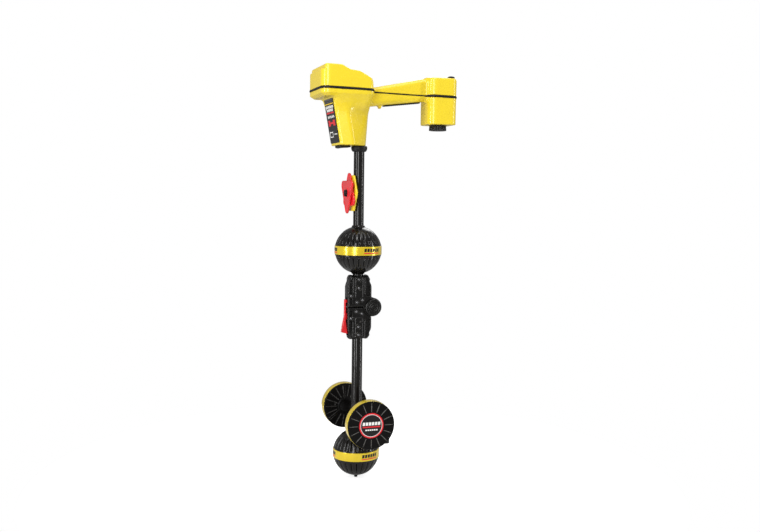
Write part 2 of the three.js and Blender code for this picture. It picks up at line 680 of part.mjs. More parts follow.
function discAntenna(hand, side) {
  const { r, half, band } = DISC;
  const group = new THREE.Group();
  group.position.set(0, side * DISC.y, DISC.z);
  group.rotation.x = (-side * Math.PI) / 2; // local +Z then points outwards, and local y is -side times up
  const hub = post(16, -half - 1.4, 1 - half);
  group.add(
    mesh(`disc_${hand}_inner_cover`, join(discCover(-1), hub, discSocket(side)), BLACK),
    mesh(`disc_${hand}_outer_cover`, discCover(1), BLACK),
    mesh(`disc_${hand}_band`, ring(DISC.step + GAP, r, -band, band), YELLOW),
    mesh(`disc_${hand}_coil`, ring(24, 39, -6, 6, 18), COPPER),
  );
  return group;
}

// One arm of the yoke, a taper from the clamp out to a disc's socket.
function yokeArm(side) {
  const corners = (x0, x1, y, z0, z1) =>
    [[x0, z0], [x1, z0], [x0, z1], [x1, z1]].map(([x, z]) => new THREE.Vector3(x, side * y, z));
  const end = DISC.y - DISC.half - FOOT.out - GAP;
  return solid(new ConvexGeometry([...corners(2, 16, 6, 106, 120), ...corners(24, 38, end, 86.5, 97.5)]));
}

function antennaYoke() {
  const whole = join(post(YOKE.r, YOKE.z0, YOKE.z1), yokeArm(-1), yokeArm(1));
  return mesh("antenna_yoke", cut(whole, post(SOCKET_R, YOKE.z0 - 14, YOKE.z1 + 8)), BLACK);
}

// ---- The whole locator ----------------------------------------------------------------------------
const locator = new THREE.Group();
locator.add(
  ...casings(),
  seamGasket(),
  ...electronics(),
  ...keys(),
  jackCap(),
  gripStrip(),
  ...batteryBay(),
  ...stemFittings(),
  ...masts(),
  ...markers(),
  ball("upper", UPPER_BALL_Z, ballShell(-1, BORE_R, BALL.hub, 1)),
  ball("lower", LOWER_BALL_Z, ballShell(-1, TIP_R + GAP, 8, 0)),
  baseTip(),
  ...foldingJoint(),
  antennaYoke(),
  discAntenna("left", -1),
  discAntenna("right", 1),
);

export default locator;
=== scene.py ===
"""Looks for the folding hand-held locator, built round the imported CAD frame.

Lengths are millimetres in the CAD's own frame (+X rearwards to the handle, +Y to the instrument's
right, +Z up the mast) and become metres when a mesh is made. Moulded pieces are drawn as distance
fields, negative inside, so that their edges carry true fillets, and are meshed here. Turned and
printed pieces are meshed directly.
"""

import math
from functools import partial, reduce

import bpy
import numpy as np
from mathutils import Matrix, Vector
from numpy import clip, hypot, interp, maximum, minimum


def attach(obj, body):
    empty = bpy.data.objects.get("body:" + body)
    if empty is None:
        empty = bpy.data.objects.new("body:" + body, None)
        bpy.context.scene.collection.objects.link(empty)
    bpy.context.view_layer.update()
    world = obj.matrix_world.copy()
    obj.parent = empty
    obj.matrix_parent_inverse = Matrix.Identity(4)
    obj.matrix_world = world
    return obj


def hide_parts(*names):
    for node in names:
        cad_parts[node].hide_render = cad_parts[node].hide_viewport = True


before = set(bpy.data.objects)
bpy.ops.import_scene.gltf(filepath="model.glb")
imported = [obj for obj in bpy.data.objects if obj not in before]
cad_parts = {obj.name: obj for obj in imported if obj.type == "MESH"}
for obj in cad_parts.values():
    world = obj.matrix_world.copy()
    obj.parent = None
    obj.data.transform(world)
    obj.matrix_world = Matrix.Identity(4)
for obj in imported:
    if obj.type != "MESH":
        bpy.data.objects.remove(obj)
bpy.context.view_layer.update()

MM = 0.001
COARSER = 1.0  # grid steps grow by this while trying things

# ---- Dimensions shared with the CAD ----
WALL = 2.8
MAST_R = 10.2
SEAM_Z, SEAM_FALL = 746.2, 0.02
HEAD_X0, HEAD_X1, HEAD_HALF, HEAD_LIP = -87.2, 13.0, 54.5, 738.0
STEM_TOP, STEM_BOTTOM = 737.0, 645.0
STEM_FRONT_TOP, STEM_FRONT_BOTTOM = -62.6, -46.2
BOX_X0, BOX_X1, BOX_HALF, BOX_TOP, BOX_BOTTOM = 131.5, 190.0, 31.0, 778.8, 689.6
KEYPAD_X, KEYPAD_Z, KEYPAD_TILT = -14.5, 772.6, 0.344
JACK_X, JACK_Y = 180.0, -17.0
KNOB_X = 160.6
BALL_R, BALL_BAND = 45.2, 8.25
BALLS_Z = {"upper": 446.3, "lower": 50.6}
HINGE_X, HINGE_Z = 26.8, 336.0
JOINT_HALF, JOINT_FRONT, JOINT_REAR, JOINT_REACH = 13.0, -23.1, 25.2, 61.0
MARKER_Z, MARKER_R, MARKER_PITCH, MARKER_X = 555.0, 38.7, 3.9, -13.4
DISC_R, DISC_Y, DISC_Z, DISC_HALF, DISC_BAND = 45.7, 84.5, 125.2, 11.0, 7.5
HANDS = ((-1, "left"), (1, "right"))
HANDSET, LOWER = "handset", "lower_assembly"  # the two bodies that most pieces ride on


# ---- Materials ----
SLOTS = {}  # the record's material slot that goes with each finish, by the finish's name
SWELL = 60  # ripples per metre in every surface


def linear(colour):
    """A colour given as 0 to 255 screen values, as the linear colour that shaders take."""
    shares = [value / 255 for value in colour]
    return tuple(v / 12.92 if v <= 0.04045 else ((v + 0.055) / 1.055) ** 2.4 for v in shares) + (1.0,)


def feed(tree, node, inputs):
    """Sets each input of a node to its number or colour, or links its socket; returns the node."""
    for name, value in inputs.items():
        if isinstance(value, bpy.types.NodeSocket):
            tree.links.new(value, node.inputs[name])
        else:
            node.inputs[name].default_value = value
    return node


def add(tree, kind, inputs, **settings):
    node = tree.nodes.new("ShaderNode" + kind)
    for name, value in settings.items():
        setattr(node, name, value)
    return feed(tree, node, inputs)


def noise(tree, scale, detail, roughness=0.5):
    """A noise in object space; scale is in features per metre."""
    place = tree.nodes.new("ShaderNodeTexCoord").outputs["Object"]
    inputs = {"Vector": place, "Scale": scale, "Detail": detail, "Roughness": roughness}
    return add(tree, "TexNoise", inputs).outputs["Fac"]


def ramp(tree, value, low, high, at=(0.3, 0.7)):
    """Value mapped smoothly from low to high between two of its levels."""
    inputs = {"Value": value, "From Min": at[0], "From Max": at[1], "To Min": low, "To Max": high}
    return add(tree, "MapRange", inputs, interpolation_type="SMOOTHSTEP").outputs["Result"]


def tint(tree, factor, first, second):
    return add(tree, "Mix", {"Factor": factor, "A": first, "B": second}, data_type="RGBA").outputs["Result"]


def moulded(
    name, colour, rough, shade, spread, grain, bump, slot=None, painted_highlight=None, metal=0.0, coat=0.0, shine=0.5
):
    """A moulded or drawn surface: slow colour change, uneven gloss, fine grain and a faint ripple.

    The darkest patches are shade times the colour, and the roughness strays from rough by spread.
    Grain is in features per metre and bump is its strength. Where an edge colour is given, the outer convex
    edges are lightened to it as a painted highlight. Slot is the record's material slot for pieces of this
    finish.
    """
    material = bpy.data.materials.new(name)
    SLOTS[material.name] = slot
    material.use_nodes = True
    tree = material.node_tree
    light = linear(colour)
    dark = tuple(c * shade for c in light[:3]) + (1.0,)
    base = tint(tree, ramp(tree, noise(tree, 28, 4), 0, 1), dark, light)
    if painted_highlight:
        # Painted highlight: where the surface is convex (pointiness), the colour is lightened towards the
        # edge colour.
        edges = tree.nodes.new("ShaderNodeNewGeometry").outputs["Pointiness"]
        base = tint(tree, ramp(tree, edges, 0, 1, (0.515, 0.62)), base, linear(painted_highlight))
    heights = {0: noise(tree, SWELL, 1), 1: 1.6, 2: noise(tree, grain, 2)}
    height = add(tree, "Math", heights, operation="MULTIPLY_ADD").outputs["Value"]
    relief = add(tree, "Bump", {"Strength": bump, "Distance": 0.0005, "Height": height})
    feed(tree, tree.nodes["Principled BSDF"], {
        "Base Color": base,
        "Roughness": ramp(tree, noise(tree, 190, 5, 0.6), rough - spread, rough + spread),
        "Metallic": metal,
        "Coat Weight": coat,
        "Coat Roughness": 0.08,
        "Specular IOR Level": shine,
        "Normal": relief.outputs["Normal"],
    })
    return material


PLASTIC, PRINT = "black_plastic", "label_black"
YELLOW = moulded("yellow_gloss", (238, 210, 42), 0.25, 0.97, 0.04, 1500, 0.006, "casing_yellow", coat=0.15)
BAND_YELLOW = moulded(
    "yellow_band", (236, 206, 34), 0.2, 0.93, 0.05, 900, 0.03, "casing_yellow", metal=0.4, coat=0.6
)
GLOSS_BLACK = moulded("black_gloss", (17, 15, 13), 0.16, 0.8, 0.05, 1200, 0.005, PLASTIC, shine=0.38)
# Satin black with a painted highlight: its convex edges, ribs and screw rims are lightened to a grey.
SATIN_BLACK = moulded(
    "black_satin", (17, 16, 15), 0.26, 0.75, 0.07, 1800, 0.03, PLASTIC, shine=0.3, painted_highlight=(84, 82, 78)
)
DISC_BLACK = moulded("black_disc", (11, 10, 9), 0.3, 0.75, 0.07, 1800, 0.02, PLASTIC, shine=0.12)
# Lighter greys laid on the disc covers' rib crests: painted highlights, not the plastic's own colour.
RIB_HIGHLIGHT_GREY = moulded("rib_highlight_grey", (92, 90, 86), 0.34, 0.8, 0.07, 1800, 0.03, shine=0.4)
RIB_HIGHLIGHT_DIM = moulded("rib_highlight_dim", (62, 60, 57), 0.34, 0.8, 0.07, 1800, 0.03, shine=0.35)
RUBBER = moulded("rubber", (18, 17, 18), 0.48, 0.75, 0.1, 2600, 0.15, "rubber", shine=0.3)
MAST_BLACK = moulded("mast_lacquer", (17, 15, 13), 0.14, 0.85, 0.03, 700, 0.003, "mast_black", shine=0.4)
RED = moulded("red_plastic", (228, 30, 38), 0.24, 0.9, 0.07, 1300, 0.04, "red_plastic", coat=0.3)
STEEL = moulded("screw_steel", (160, 160, 162), 0.3, 0.8, 0.08, 1500, 0.08, "steel", metal=1.0)
WHITE_INK = moulded("white_print", (236, 236, 232), 0.4, 0.96, 0.05, 2500, 0.02, PRINT)
RED_INK = moulded("red_print", (218, 28, 40), 0.38, 0.95, 0.05, 2500, 0.02, PRINT)
GREY_INK = moulded("grey_print", (78, 78, 80), 0.4, 0.9, 0.05, 2500, 0.02, PRINT)
BLACK_INK = moulded("black_print", (24, 22, 23), 0.36, 0.9, 0.05, 2500, 0.02, PRINT, shine=0.3)
YELLOW_INK = moulded("yellow_print", (240, 204, 30), 0.4, 0.95, 0.05, 2500, 0.02, PRINT)


# ---- Meshes ----
def make(
    name, points, faces, materials, body, node=None, slot=None, normals=None, groups=None, sharp=None
):
    """A smooth-shaded piece from points in mm that rides on a body and stands for a CAD node.

    Materials is one finish or a list of them, and groups is then each face's number in it. Sharp is
    the least angle, in degrees, of an edge that stays sharp.
    """
    materials = materials if isinstance(materials, list) else [materials]
    mesh = bpy.data.meshes.new(name)
    mesh.from_pydata((np.asarray(points, float) * MM).tolist(), [], [list(map(int, f)) for f in faces])
    mesh.validate()
    for material in materials:
        mesh.materials.append(material)
    if groups is not None:
        mesh.polygons.foreach_set("material_index", np.asarray(groups, np.int32))
    mesh.polygons.foreach_set("use_smooth", [True] * len(mesh.polygons))
    if normals is not None:
        mesh.normals_split_custom_set_from_vertices(np.asarray(normals).tolist())
    mesh.update()
    if sharp:
        mesh.set_sharp_from_angle(angle=math.radians(sharp))
    piece = bpy.data.objects.new(name, mesh)
    bpy.context.scene.collection.objects.link(piece)
    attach(piece, body)
    if node:
        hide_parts(node)
    slot or SLOTS[materials[0].name]


# ---- Distance fields ----
def meet(r, a, b):
    """Where both fields hold, with the edge between them rounded to a radius of r."""
    corner = np.sqrt(maximum(a + r, 0) ** 2 + maximum(b + r, 0) ** 2) - r
    return np.where(maximum(a, b) < -r, maximum(a, b), corner)


def fuse(r, a, b):
    """Where either field holds, with a fillet of radius r in the corner between them."""
    return -meet(r, -a, -b)


def carve(r, a, b):
    """The first field without the second, with the new edge rounded."""
    return meet(r, a, -b)


def rectangle(u, v, u0, u1, v0, v1, r=0):
    """A rounded rectangle; the radius may be an array."""
    du = abs(u - (u0 + u1) / 2) - (u1 - u0) / 2 + r
    dv = abs(v - (v0 + v1) / 2) - (v1 - v0) / 2 + r
    return minimum(maximum(du, dv), 0) + hypot(maximum(du, 0), maximum(dv, 0)) - r


def plan_field(x, y, x0, x1, half, r_front, r_rear):
    """A rounded rectangle in plan, with one radius in front and another behind."""
    r = np.where(x < (x0 + x1) / 2, r_front, r_rear)
    return rectangle(x, y, x0, x1, -half, half, r)


def between(value, low, high):
    return maximum(low - value, value - high)


def outline_field(u, v, points):
    """The signed distance to a closed outline in two coordinates."""
    best = None
    inside = np.zeros(np.broadcast(u, v).shape, bool)
    for (au, av), (bu, bv) in zip(points, points[1:] + points[:1]):
        eu, ev = bu - au, bv - av
        t = clip(((u - au) * eu + (v - av) * ev) / (eu * eu + ev * ev), 0, 1)
        d = (u - au - t * eu) ** 2 + (v - av - t * ev) ** 2
        best = d if best is None else minimum(best, d)
        if av != bv:
            inside ^= ((v >= av) != (v >= bv)) & (u < au + (v - av) * eu / ev)
    return np.where(inside, -1, 1) * np.sqrt(best)


def step_up(depth, width):
    """0 to 1, smoothly, as depth goes from 0 to width."""
    share = clip(depth / width, 0, 1)
    return share * share * (3 - 2 * share)


def soft_lerp(value, stops, numbers, reach=4):
    """Numbers at stops, in straight lines whose corners are smoothed over reach each way."""
    steps = (-1, -0.5, 0, 0.5, 1)
    return sum(interp(value + reach * s, stops, numbers) for s in steps) / len(steps)


def gradient(field, p, eps=0.04):
    slope = np.empty_like(p)
    for axis in range(3):
        ahead, behind = p.copy(), p.copy()
        ahead[:, axis] += eps
        behind[:, axis] -= eps
        slope[:, axis] = (field(*ahead.T) - field(*behind.T)) / (2 * eps)
    return slope


# ---- Meshing a field ----
CORNERS = np.array([(i & 1, i >> 1 & 1, i >> 2 & 1) for i in range(8)])
EDGES = [(a, b) for a in range(8) for b in range(a + 1, 8) if bin(a ^ b).count("1") == 1]
ROUNDS = 3  # times that the points are moved on to the surface


def cell_points(values, inside):
    """The grid cells that the surface passes through, their numbers, and a point in each."""
    views = [tuple(slice(o, o + n - 1) for o, n in zip(c, inside.shape)) for c in CORNERS]
    count = sum(inside[v].astype(np.int8) for v in views)
    cells = np.argwhere((count > 0) & (count < 8))
    number = np.full(count.shape, -1, np.int64)
    number[tuple(cells.T)] = np.arange(len(cells))
    at = [values[tuple((cells + c).T)] for c in CORNERS]
    total, hits = np.zeros((len(cells), 3)), np.zeros(len(cells))
    for a, b in EDGES:
        cross = (at[a] < 0) != (at[b] < 0)
        share = np.where(cross, at[a] / np.where(cross, at[a] - at[b], 1), 0)[:, None]
        total += np.where(cross[:, None], CORNERS[a] + share * (CORNERS[b] - CORNERS[a]), 0)
        hits += cross
    return number, cells + total / hits[:, None]


def cell_quads(number, inside):
    """A quad round every grid edge that the surface crosses, facing out."""
    quads = []
    room = np.array(inside.shape) - 1
    for axis in range(3):
        side, other = np.eye(3, dtype=int)[(axis + 1) % 3], np.eye(3, dtype=int)[(axis + 2) % 3]
        lower, upper = [slice(None)] * 3, [slice(None)] * 3
        lower[axis], upper[axis] = slice(0, -1), slice(1, None)
        edge = np.argwhere(inside[tuple(lower)] != inside[tuple(upper)])
        fits = (edge >= side + other) & (edge < np.where(side + other > 0, room, 10**9))
        edge = edge[np.all(fits, axis=1)]
        ring = [edge - side - other, edge - other, edge, edge - side]
        quad = np.stack([number[tuple(r.T)] for r in ring], axis=1)
        facing = inside[tuple(edge.T)]
        quad[~facing] = quad[~facing][:, ::-1]
        quads.append(quad)
    return np.concatenate(quads)


def skin(field, low, high, step):
    """Meshes the zero surface of a field inside a box: points, quads and unit normals."""
    step *= COARSER
    axes = [np.arange(a, b + step, step) for a, b in zip(low, high)]
    values = field(axes[0][:, None, None], axes[1][None, :, None], axes[2][None, None, :])
    inside = values < 0
    number, places = cell_points(values, inside)
    points = np.array([a[0] for a in axes]) + step * places
    for _ in range(ROUNDS):
        slope = gradient(field, points)
        size = maximum((slope**2).sum(1), 0.05)
        move = -(field(*points.T) / size)[:, None] * slope
        points += clip(move, -step, step)
    slope = gradient(field, points)
    normals = slope / maximum(np.linalg.norm(slope, axis=1), 1e-6)[:, None]
    return points, cell_quads(number, inside), normals


def field_piece(name, field, low, high, step, material, body, node=None, slot=None):
    points, quads, normals = skin(field, low, high, step)
    make(name, points, quads, material, body, node, slot, normals)


# ---- Yellow casings and the rubber seal ----
HEAD_SIDE = [
    (-100, 700), (40, 700), (40, 749), (13, 749.4), (11.4, 760.8), (8, 767), (-4.7, 774),
    (-16.6, 779.8), (-34, 781.6), (-50, 789.6), (-79.5, 790.4), (-81.8, 787.5), (-81.8, 781.6),
    (-100, 781),
]

# The stem's plan at four heights: front, front corner, crease, two points round the back and rear.
STEM_HEIGHTS = [645, 704, 719, 738]
STEM_PLANS = [
    [(-46.2, 31), (-43.7, 33.5), (-21.6, 40.5), (8.4, 12.6), (12.1, 7), (13.4, 0)],
    [(-56.7, 31), (-54.2, 33.5), (-33.1, 40.5), (12.8, 12.3), (16.4, 6.8), (17.6, 0)],
    [(-59.4, 35), (-52, 39), (-36, 44), (4, 41), (13.4, 30), (14, 0)],
    [(-62.6, 46), (-58, 51.5), (-46, 54.2), (6, 54), (13, 47), (13.4, 0)],
]
STEM_ROUNDING = (1, 1, 4, 6, 6)
STEM_LEAN = 0.985  # cosine of the front face's slope


def stem_field(x, y, z):
    """The stem and the flare above it, symmetric about y = 0."""
    side = abs(y)
    loop = [
        tuple(soft_lerp(z, STEM_HEIGHTS, [plan[i][axis] for plan in STEM_PLANS]) for axis in (0, 1))
        for i in range(6)
    ]
    field = (loop[0][0] - x) * STEM_LEAN
    for (a, b), r in zip(zip(loop, loop[1:]), STEM_ROUNDING):
        length = hypot(b[0] - a[0], b[1] - a[1])
        line = ((x - a[0]) * (a[1] - b[1]) + (side - a[1]) * (b[0] - a[0])) / length
        field = meet(r, field, line)
    field = field * soft_lerp(z, [700, 706, 717, 724], [1, 0.5, 0.5, 0.8])  # the flare's steep sides
    return meet(1.2, maximum(field, z - 742), STEM_BOTTOM - z)


def handle_field(x, y, z):
    stops = [4, 22, 136]
    low = interp(x, stops, [716, 720.5, 734.5])
    high = interp(x, stops, [748, 755, 779])
    half = interp(x, stops[:2], [19, 17])
    return maximum(rectangle(z, y, low, high, -half, half, 9.5), between(x, 0, 140))


def box_field(x, y, z):
    rear = BOX_X1 - 0.8 * clip((BOX_TOP - 5.5 - z) / 84, 0, 1)
    plan = plan_field(x, y, BOX_X0, rear, BOX_HALF, 16, 12)
    return meet(1.4, meet(5, plan, z - BOX_TOP), BOX_BOTTOM - z)


def head_field(x, y, z):
    plan = plan_field(x, y, HEAD_X0, HEAD_X1, HEAD_HALF, 16.5, 10)
    upper = meet(2.6, plan, outline_field(x, z, HEAD_SIDE))
    lean = (HEAD_LIP - z) * 8 / 5
    sides = np.where(z < HEAD_LIP, (plan + lean) * 0.53, plan)
    return maximum(maximum(upper, sides), (HEAD_LIP - 5) - z)


def keypad_frame(x, y, z):
    """Coordinates on the sloping keypad: u rearwards, v to the right and w out of it."""
    c, s = math.cos(KEYPAD_TILT), math.sin(KEYPAD_TILT)
    dx, dz = x - KEYPAD_X, z - KEYPAD_Z
    return dx * c - dz * s, y, dx * s + dz * c


def seam_height(x, z):
    """The height above the middle of the parting plane."""
    return z - (SEAM_Z - SEAM_FALL * x)


def seam_half(x):
    """Half the seal's thickness: full round the head and the box, thin along the handle."""
    return interp(x, [14, 22, 126, 134], [2.05, 1, 1, 2.05])


def body_field(x, y, z):
    """The whole casing's outer surface."""
    head = fuse(5, head_field(x, y, z), stem_field(x, y, z))
    stop = outline_field(x, z, [(33, 728), (45.5, 728), (41.2, 717), (38.6, 717)])
    handle = fuse(2.5, handle_field(x, y, z), meet(1, stop, abs(y) - 5))
    return fuse(5, head, fuse(6, handle, box_field(x, y, z)))


def wells_field(x, y, z):
    """What is taken out of the top: the hooded display well and the keypad's recess."""
    display = maximum(rectangle(x, y, -77, -36.5, -46, 46, 3), 778 - z)
    u, v, w = keypad_frame(x, y, z)
    return minimum(display, maximum(rectangle(u, v, -19, 19, -44, 44, 4), -0.5 - w))


# Each key's middle on the keypad and its length across.
KEYS = {
    "key_power": (8.5, -26, 15),
    "key_menu": (-8.5, -26, 15),
    "key_up": (-8.5, 0, 22),
    "key_select": (8.5, 0, 22),
    "key_sound": (0, 26, 15),
}
KEY_R = 5


def key_outline(u, v, key, more=0):
    """A long key with round ends; more grows it."""
    ku, kv, length = KEYS[key]
    reach = length / 2 - KEY_R
    return hypot(u - ku, maximum(abs(v - kv) - reach, 0)) - KEY_R - more


def key_holes(u, v, gap):
    """The openings for all the keys, larger than the keys by gap."""
    return reduce(minimum, (key_outline(u, v, key, gap) for key in KEYS))


def casing_field(x, y, z):
    """The shell of both casings, before they part at the seam."""
    share = clip(1 - (abs(seam_height(x, z)) - 2.05) / 1.8, 0, 1)
    lip = 0.55 * share * interp(x, [13, 18, 129, 134], [1, 0, 0, 1])
    outer = carve(1.3, body_field(x, y, z) - lip, wells_field(x, y, z))
    hollow = outer + WALL + 2.4 * soft_lerp(z, [688, 698, 736, 742], [0, 1, 1, 0])
    from_mast = hypot(x, y) - MAST_R
    sleeve = maximum(from_mast - WALL, z - 726)
    shell = maximum(outer, -maximum(hollow, -sleeve))
    bay = plan_field(x, y, BOX_X0 + WALL, BOX_X1 - WALL, BOX_HALF - WALL, 13.2, 9.2)
    shell = carve(0.6, shell, meet(1, bay, between(z, BOX_BOTTOM - 20, 774.5)))
    shell = maximum(shell, -maximum(from_mast - 0.1, between(z, STEM_BOTTOM - 9, 726)))
    window = maximum(rectangle(x, y, -72, -42, -36, 36, 1.5), between(z, 770, 784))
    jack = maximum(hypot(x - JACK_X, y - JACK_Y) - 3, BOX_TOP - 9 - z)
    u, v, w = keypad_frame(x, y, z)
    keys = maximum(key_holes(u, v, 0.5), between(w, -9, 9))
    return carve(0.4, carve(0.4, carve(0.4, shell, window), jack), keys)


def half_casing(side, x, y, z):
    """The casing above the seal (+1) or below it (-1)."""
    return meet(0.5, casing_field(x, y, z), seam_half(x) + 0.15 - side * seam_height(x, z))


def seal_field(x, y, z):
    """The rubber seal, bulging out of the parting line."""
    height, half = seam_height(x, z), seam_half(x)
    bulge = np.sqrt(clip(1 - (height / (half + 0.3)) ** 2, 0, 1))
    proud = interp(x, [14, 22, 126, 134], [1.5, 0.5, 0.5, 1.5]) * bulge - 0.3
    outer = body_field(x, y, z) - proud
    return meet(0.3, maximum(outer, -(outer + WALL + proud)), abs(height) - half)


# ---- Helpers for turned and printed pieces ----
def soften(points, r):
    """A closed outline with each corner replaced by a small curve that starts r away from it."""
    points = [np.array(p, float) for p in points]
    result = []
    for before, p, after in zip(points[-1:] + points, points, points[1:] + points[:1]):
        a = p + (before - p) * min(r / max(np.linalg.norm(before - p), 1e-9), 0.45)
        b = p + (after - p) * min(r / max(np.linalg.norm(after - p), 1e-9), 0.45)
        result += [tuple((1 - t) ** 2 * a + 2 * t * (1 - t) * p + t * t * b) for t in (0, 0.25, 0.5, 0.75, 1)]
    return result


def facing_out(points, faces):
    """The faces, turned round if they enclose a negative volume."""
    points = np.asarray(points, float)
    points = points - points.mean(axis=0)
    fans = np.array([(f[0], f[i], f[i + 1]) for f in faces for i in range(1, len(f) - 1)])
    a, b, c = (points[fans[:, corner]] for corner in range(3))
    return faces if (a * np.cross(b, c)).sum() > 0 else [tuple(reversed(face)) for face in faces]


def turned(outline, segments, wave=None):
    """A closed outline of radius and height turned about Z; wave changes both by the angle."""
    points, faces = [], []
    for r, h in outline:
        for i in range(segments):
            angle = 2 * math.pi * i / segments
            radius, height = wave(angle, r, h) if wave else (r, h)
            points.append((radius * math.cos(angle), radius * math.sin(angle), height))
    for a in range(0, len(points), segments):
        b = (a + segments) % len(points)
        faces += [(a + i - 1, a + i, b + i, b + i - 1) for i in range(1, segments)]
        faces.append((a + segments - 1, a, b, b + segments - 1))
    return points, facing_out(points, faces)


def placed(points, origin=(0, 0, 0), z_axis=(0, 0, 1), x_axis=(1, 0, 0)):
    """Points moved so that their own Z points along z_axis from origin."""
    z = np.array(z_axis, float) / np.linalg.norm(z_axis)
    x = np.array(x_axis, float) - z * np.dot(x_axis, z)
    x /= np.linalg.norm(x)
    return np.asarray(points, float) @ np.array([x, np.cross(z, x), z]) + np.array(origin, float)


def turned_piece(
    name, outline, r, segments, material, body, node, origin=(0, 0, 0), axis=(0, 0, 1), sharp=38
):
    """An outline, softened by r, turned about an axis that starts from origin."""
    points, faces = turned(soften(outline, r), segments)
    where = placed(points, origin, axis)
    make(name, where, facing_out(where, faces), material, body, node, sharp=sharp)


def patches(name, shapes, materials, body, place, height, slot=None):
    """Printed marks: convex outlines in two coordinates with a material number, raised by height."""
    points, faces, groups = [], [], []
    for outline, group in shapes:
        base, n = len(points), len(outline)
        block = [place(u, v, out) for out in (0, height) for u, v in outline]
        solid = [tuple(range(n, 2 * n)), tuple(reversed(range(n)))]
        solid += [(i, (i + 1) % n, n + (i + 1) % n, n + i) for i in range(n)]
        points += block
        faces += [tuple(base + i for i in face) for face in facing_out(block, solid)]
        groups += [group] * len(solid)
    make(name, points, faces, materials, body, slot=slot, groups=groups, sharp=38)


def lift(place, height):
    """A way of placing marks, raised by height."""
    return lambda u, v, out: place(u, v, height + out)


def bar(u0, u1, v0, v1, slant=0):
    return [(u0, v0), (u1, v0), (u1 + slant, v1), (u0 + slant, v1)]


def row(kind, count, u, pitch, width, v0, v1, slant=0):
    """Equal bars at a pitch, each with its material number."""
    return [(bar(u + pitch * i, u + pitch * i + width, v0, v1, slant), kind) for i in range(count)]


def arc(u, v, r0, r1, start, stop):
    """A short piece of a ring round (u, v), between two radii and two angles in degrees."""
    corners = ((r0, start), (r1, start), (r1, stop), (r0, stop))
    return [(u + r * math.cos(math.radians(a)), v + r * math.sin(math.radians(a))) for r, a in corners]


# ---- Mast, collar, flap and label ----
def tube(name, z0, z1, body, node):
    bore = MAST_R - 2
    outline = [(bore, z0), (MAST_R, z0), (MAST_R, z1), (bore, z1)]
    turned_piece(name, outline, 0.5, 96, MAST_BLACK, body, node)


def stem_front(z):
    """X of the stem's sloping front at a height."""
    return interp(z, [STEM_BOTTOM, STEM_TOP], [STEM_FRONT_BOTTOM, STEM_FRONT_TOP])


def label_place(u, v, out):
    """A place on the label: u across and v up."""
    slope = (STEM_FRONT_BOTTOM - STEM_FRONT_TOP) / (STEM_TOP - STEM_BOTTOM)
    return (stem_front(v) - 0.9 - out, u, v - out * slope)


def plate(x, y, z):
    depth = (x - stem_front(z)) * STEM_LEAN
    return meet(0.3, rectangle(y, z, -30, 30, 649, 732, 3), between(depth, -0.95, -0.1))


def label_marks():
    """A strip of small squares, rows of blocks, bars and an empty frame."""
    white, red, yellow, grey = range(4)
    marks = row(grey, 1, -28, 0, 56, 727.4, 731) + row(yellow, 1, -29, 0, 58, 720.6, 722.4)
    marks += row(grey, 7, -27, 8, 5, 723.6, 726.4)
    marks += row(white, 6, -25, 8.6, 6.8, 713.4, 718, 0.8) + row(white, 5, -21, 8.6, 6.8, 707.6, 712.2, 0.8)
    marks += row(red, 1, -25, 0, 50, 703.8, 706.4) + row(white, 5, -23, 9.4, 5.4, 695.4, 700, 1.2)
    marks += row(red, 2, -22, 31, 13, 681, 691.6) + row(red, 1, -9, 0, 18, 684.6, 688)
    marks += row(white, 1, -26, 0, 20, 664.4, 666, 2)
    marks += row(white, 2, 2, 19.8, 2.2, 660, 670.4)
    marks += row(white, 1, 4.2, 0, 17.6, 660, 661.8) + row(white, 1, 4.2, 0, 17.6, 668.6, 670.4)
    inks = [WHITE_INK, RED_INK, YELLOW_INK, GREY_INK]
    patches("label_marks", marks, inks, HANDSET, label_place, 0.12)


def flap(x, y, z):
    leaf = [(-20, 644.7), (-43.5, 644.7), (-45.2, 642.6), (-43.5, 640.2), (-38, 639.6), (-32, 641),
            (-20, 641.6)]
    edge = rectangle(x, y, -45.4, -19.6, -15, 15, 6)
    thumb = maximum(hypot(x + 38.5, y / 2.2) - 2.6, z - 640.4)
    return carve(0.5, meet(0.8, outline_field(x, z, leaf), edge), thumb)


def mast_pieces():
    tube("mast_upper", HINGE_Z + 17, 722, HANDSET, "upper_mast")
    tube("mast_lower", 13, HINGE_Z - 17, LOWER, "lower_mast")
    top = STEM_BOTTOM - 0.3
    outline = [(10.6, 634), (12.4, 634), (14.2, 636), (15.4, 639), (15.4, 643), (14.8, top), (10.6, top)]
    turned_piece("collar", outline, 1.2, 72, RUBBER, HANDSET, "mast_collar")
    outline = [(0.01, 0), (2.6, 0), (3.4, 0.9), (3.4, 10.7), (6.5, 10.7), (6.5, 12.6), (0.01, 12.6)]
    turned_piece("tip", outline, 0.4, 40, RUBBER, LOWER, "base_tip")


# ---- Handle and battery box fittings ----
def grip(x, y, z):
    slope = (734.5 - 720.5) / (136 - 22)  # the handle's underside
    depth = z - (720.5 + slope * (x - 22) - 0.3)
    ribs = 0.3 * clip(np.cos(x * 2 * math.pi / 4.2) * 2, -1, 1)
    return meet(0.7, rectangle(x, y, 47, 121, -6.8, 6.8, 3), between(depth, -2 + ribs, -0.02))


def jack_cap():
    outline = [(0.01, -7), (2.5, -7), (2.5, 0), (7.6, 0), (7.5, 1.4), (6.2, 3.2), (3.4, 4.2), (0.01, 4.4)]
    turned_piece("jack_dome", outline, 1, 56, RUBBER, "earphone_cap", "jack_cap",
                 (JACK_X, JACK_Y, BOX_TOP + 0.3))


def door(x, y, z):
    plan = plan_field(x, y, BOX_X0 + 3.2, BOX_X1 - 3.2, BOX_HALF - 3.2, 12.8, 8.8)
    slab = meet(0.6, plan, between(z, BOX_BOTTOM, BOX_BOTTOM + 3.4))
    reach = hypot(x - KNOB_X, y)
    well = maximum(reach - 18.4, z - (BOX_BOTTOM + 1))
    return carve(0.4, carve(0.5, slab, well), reach - 3.4)


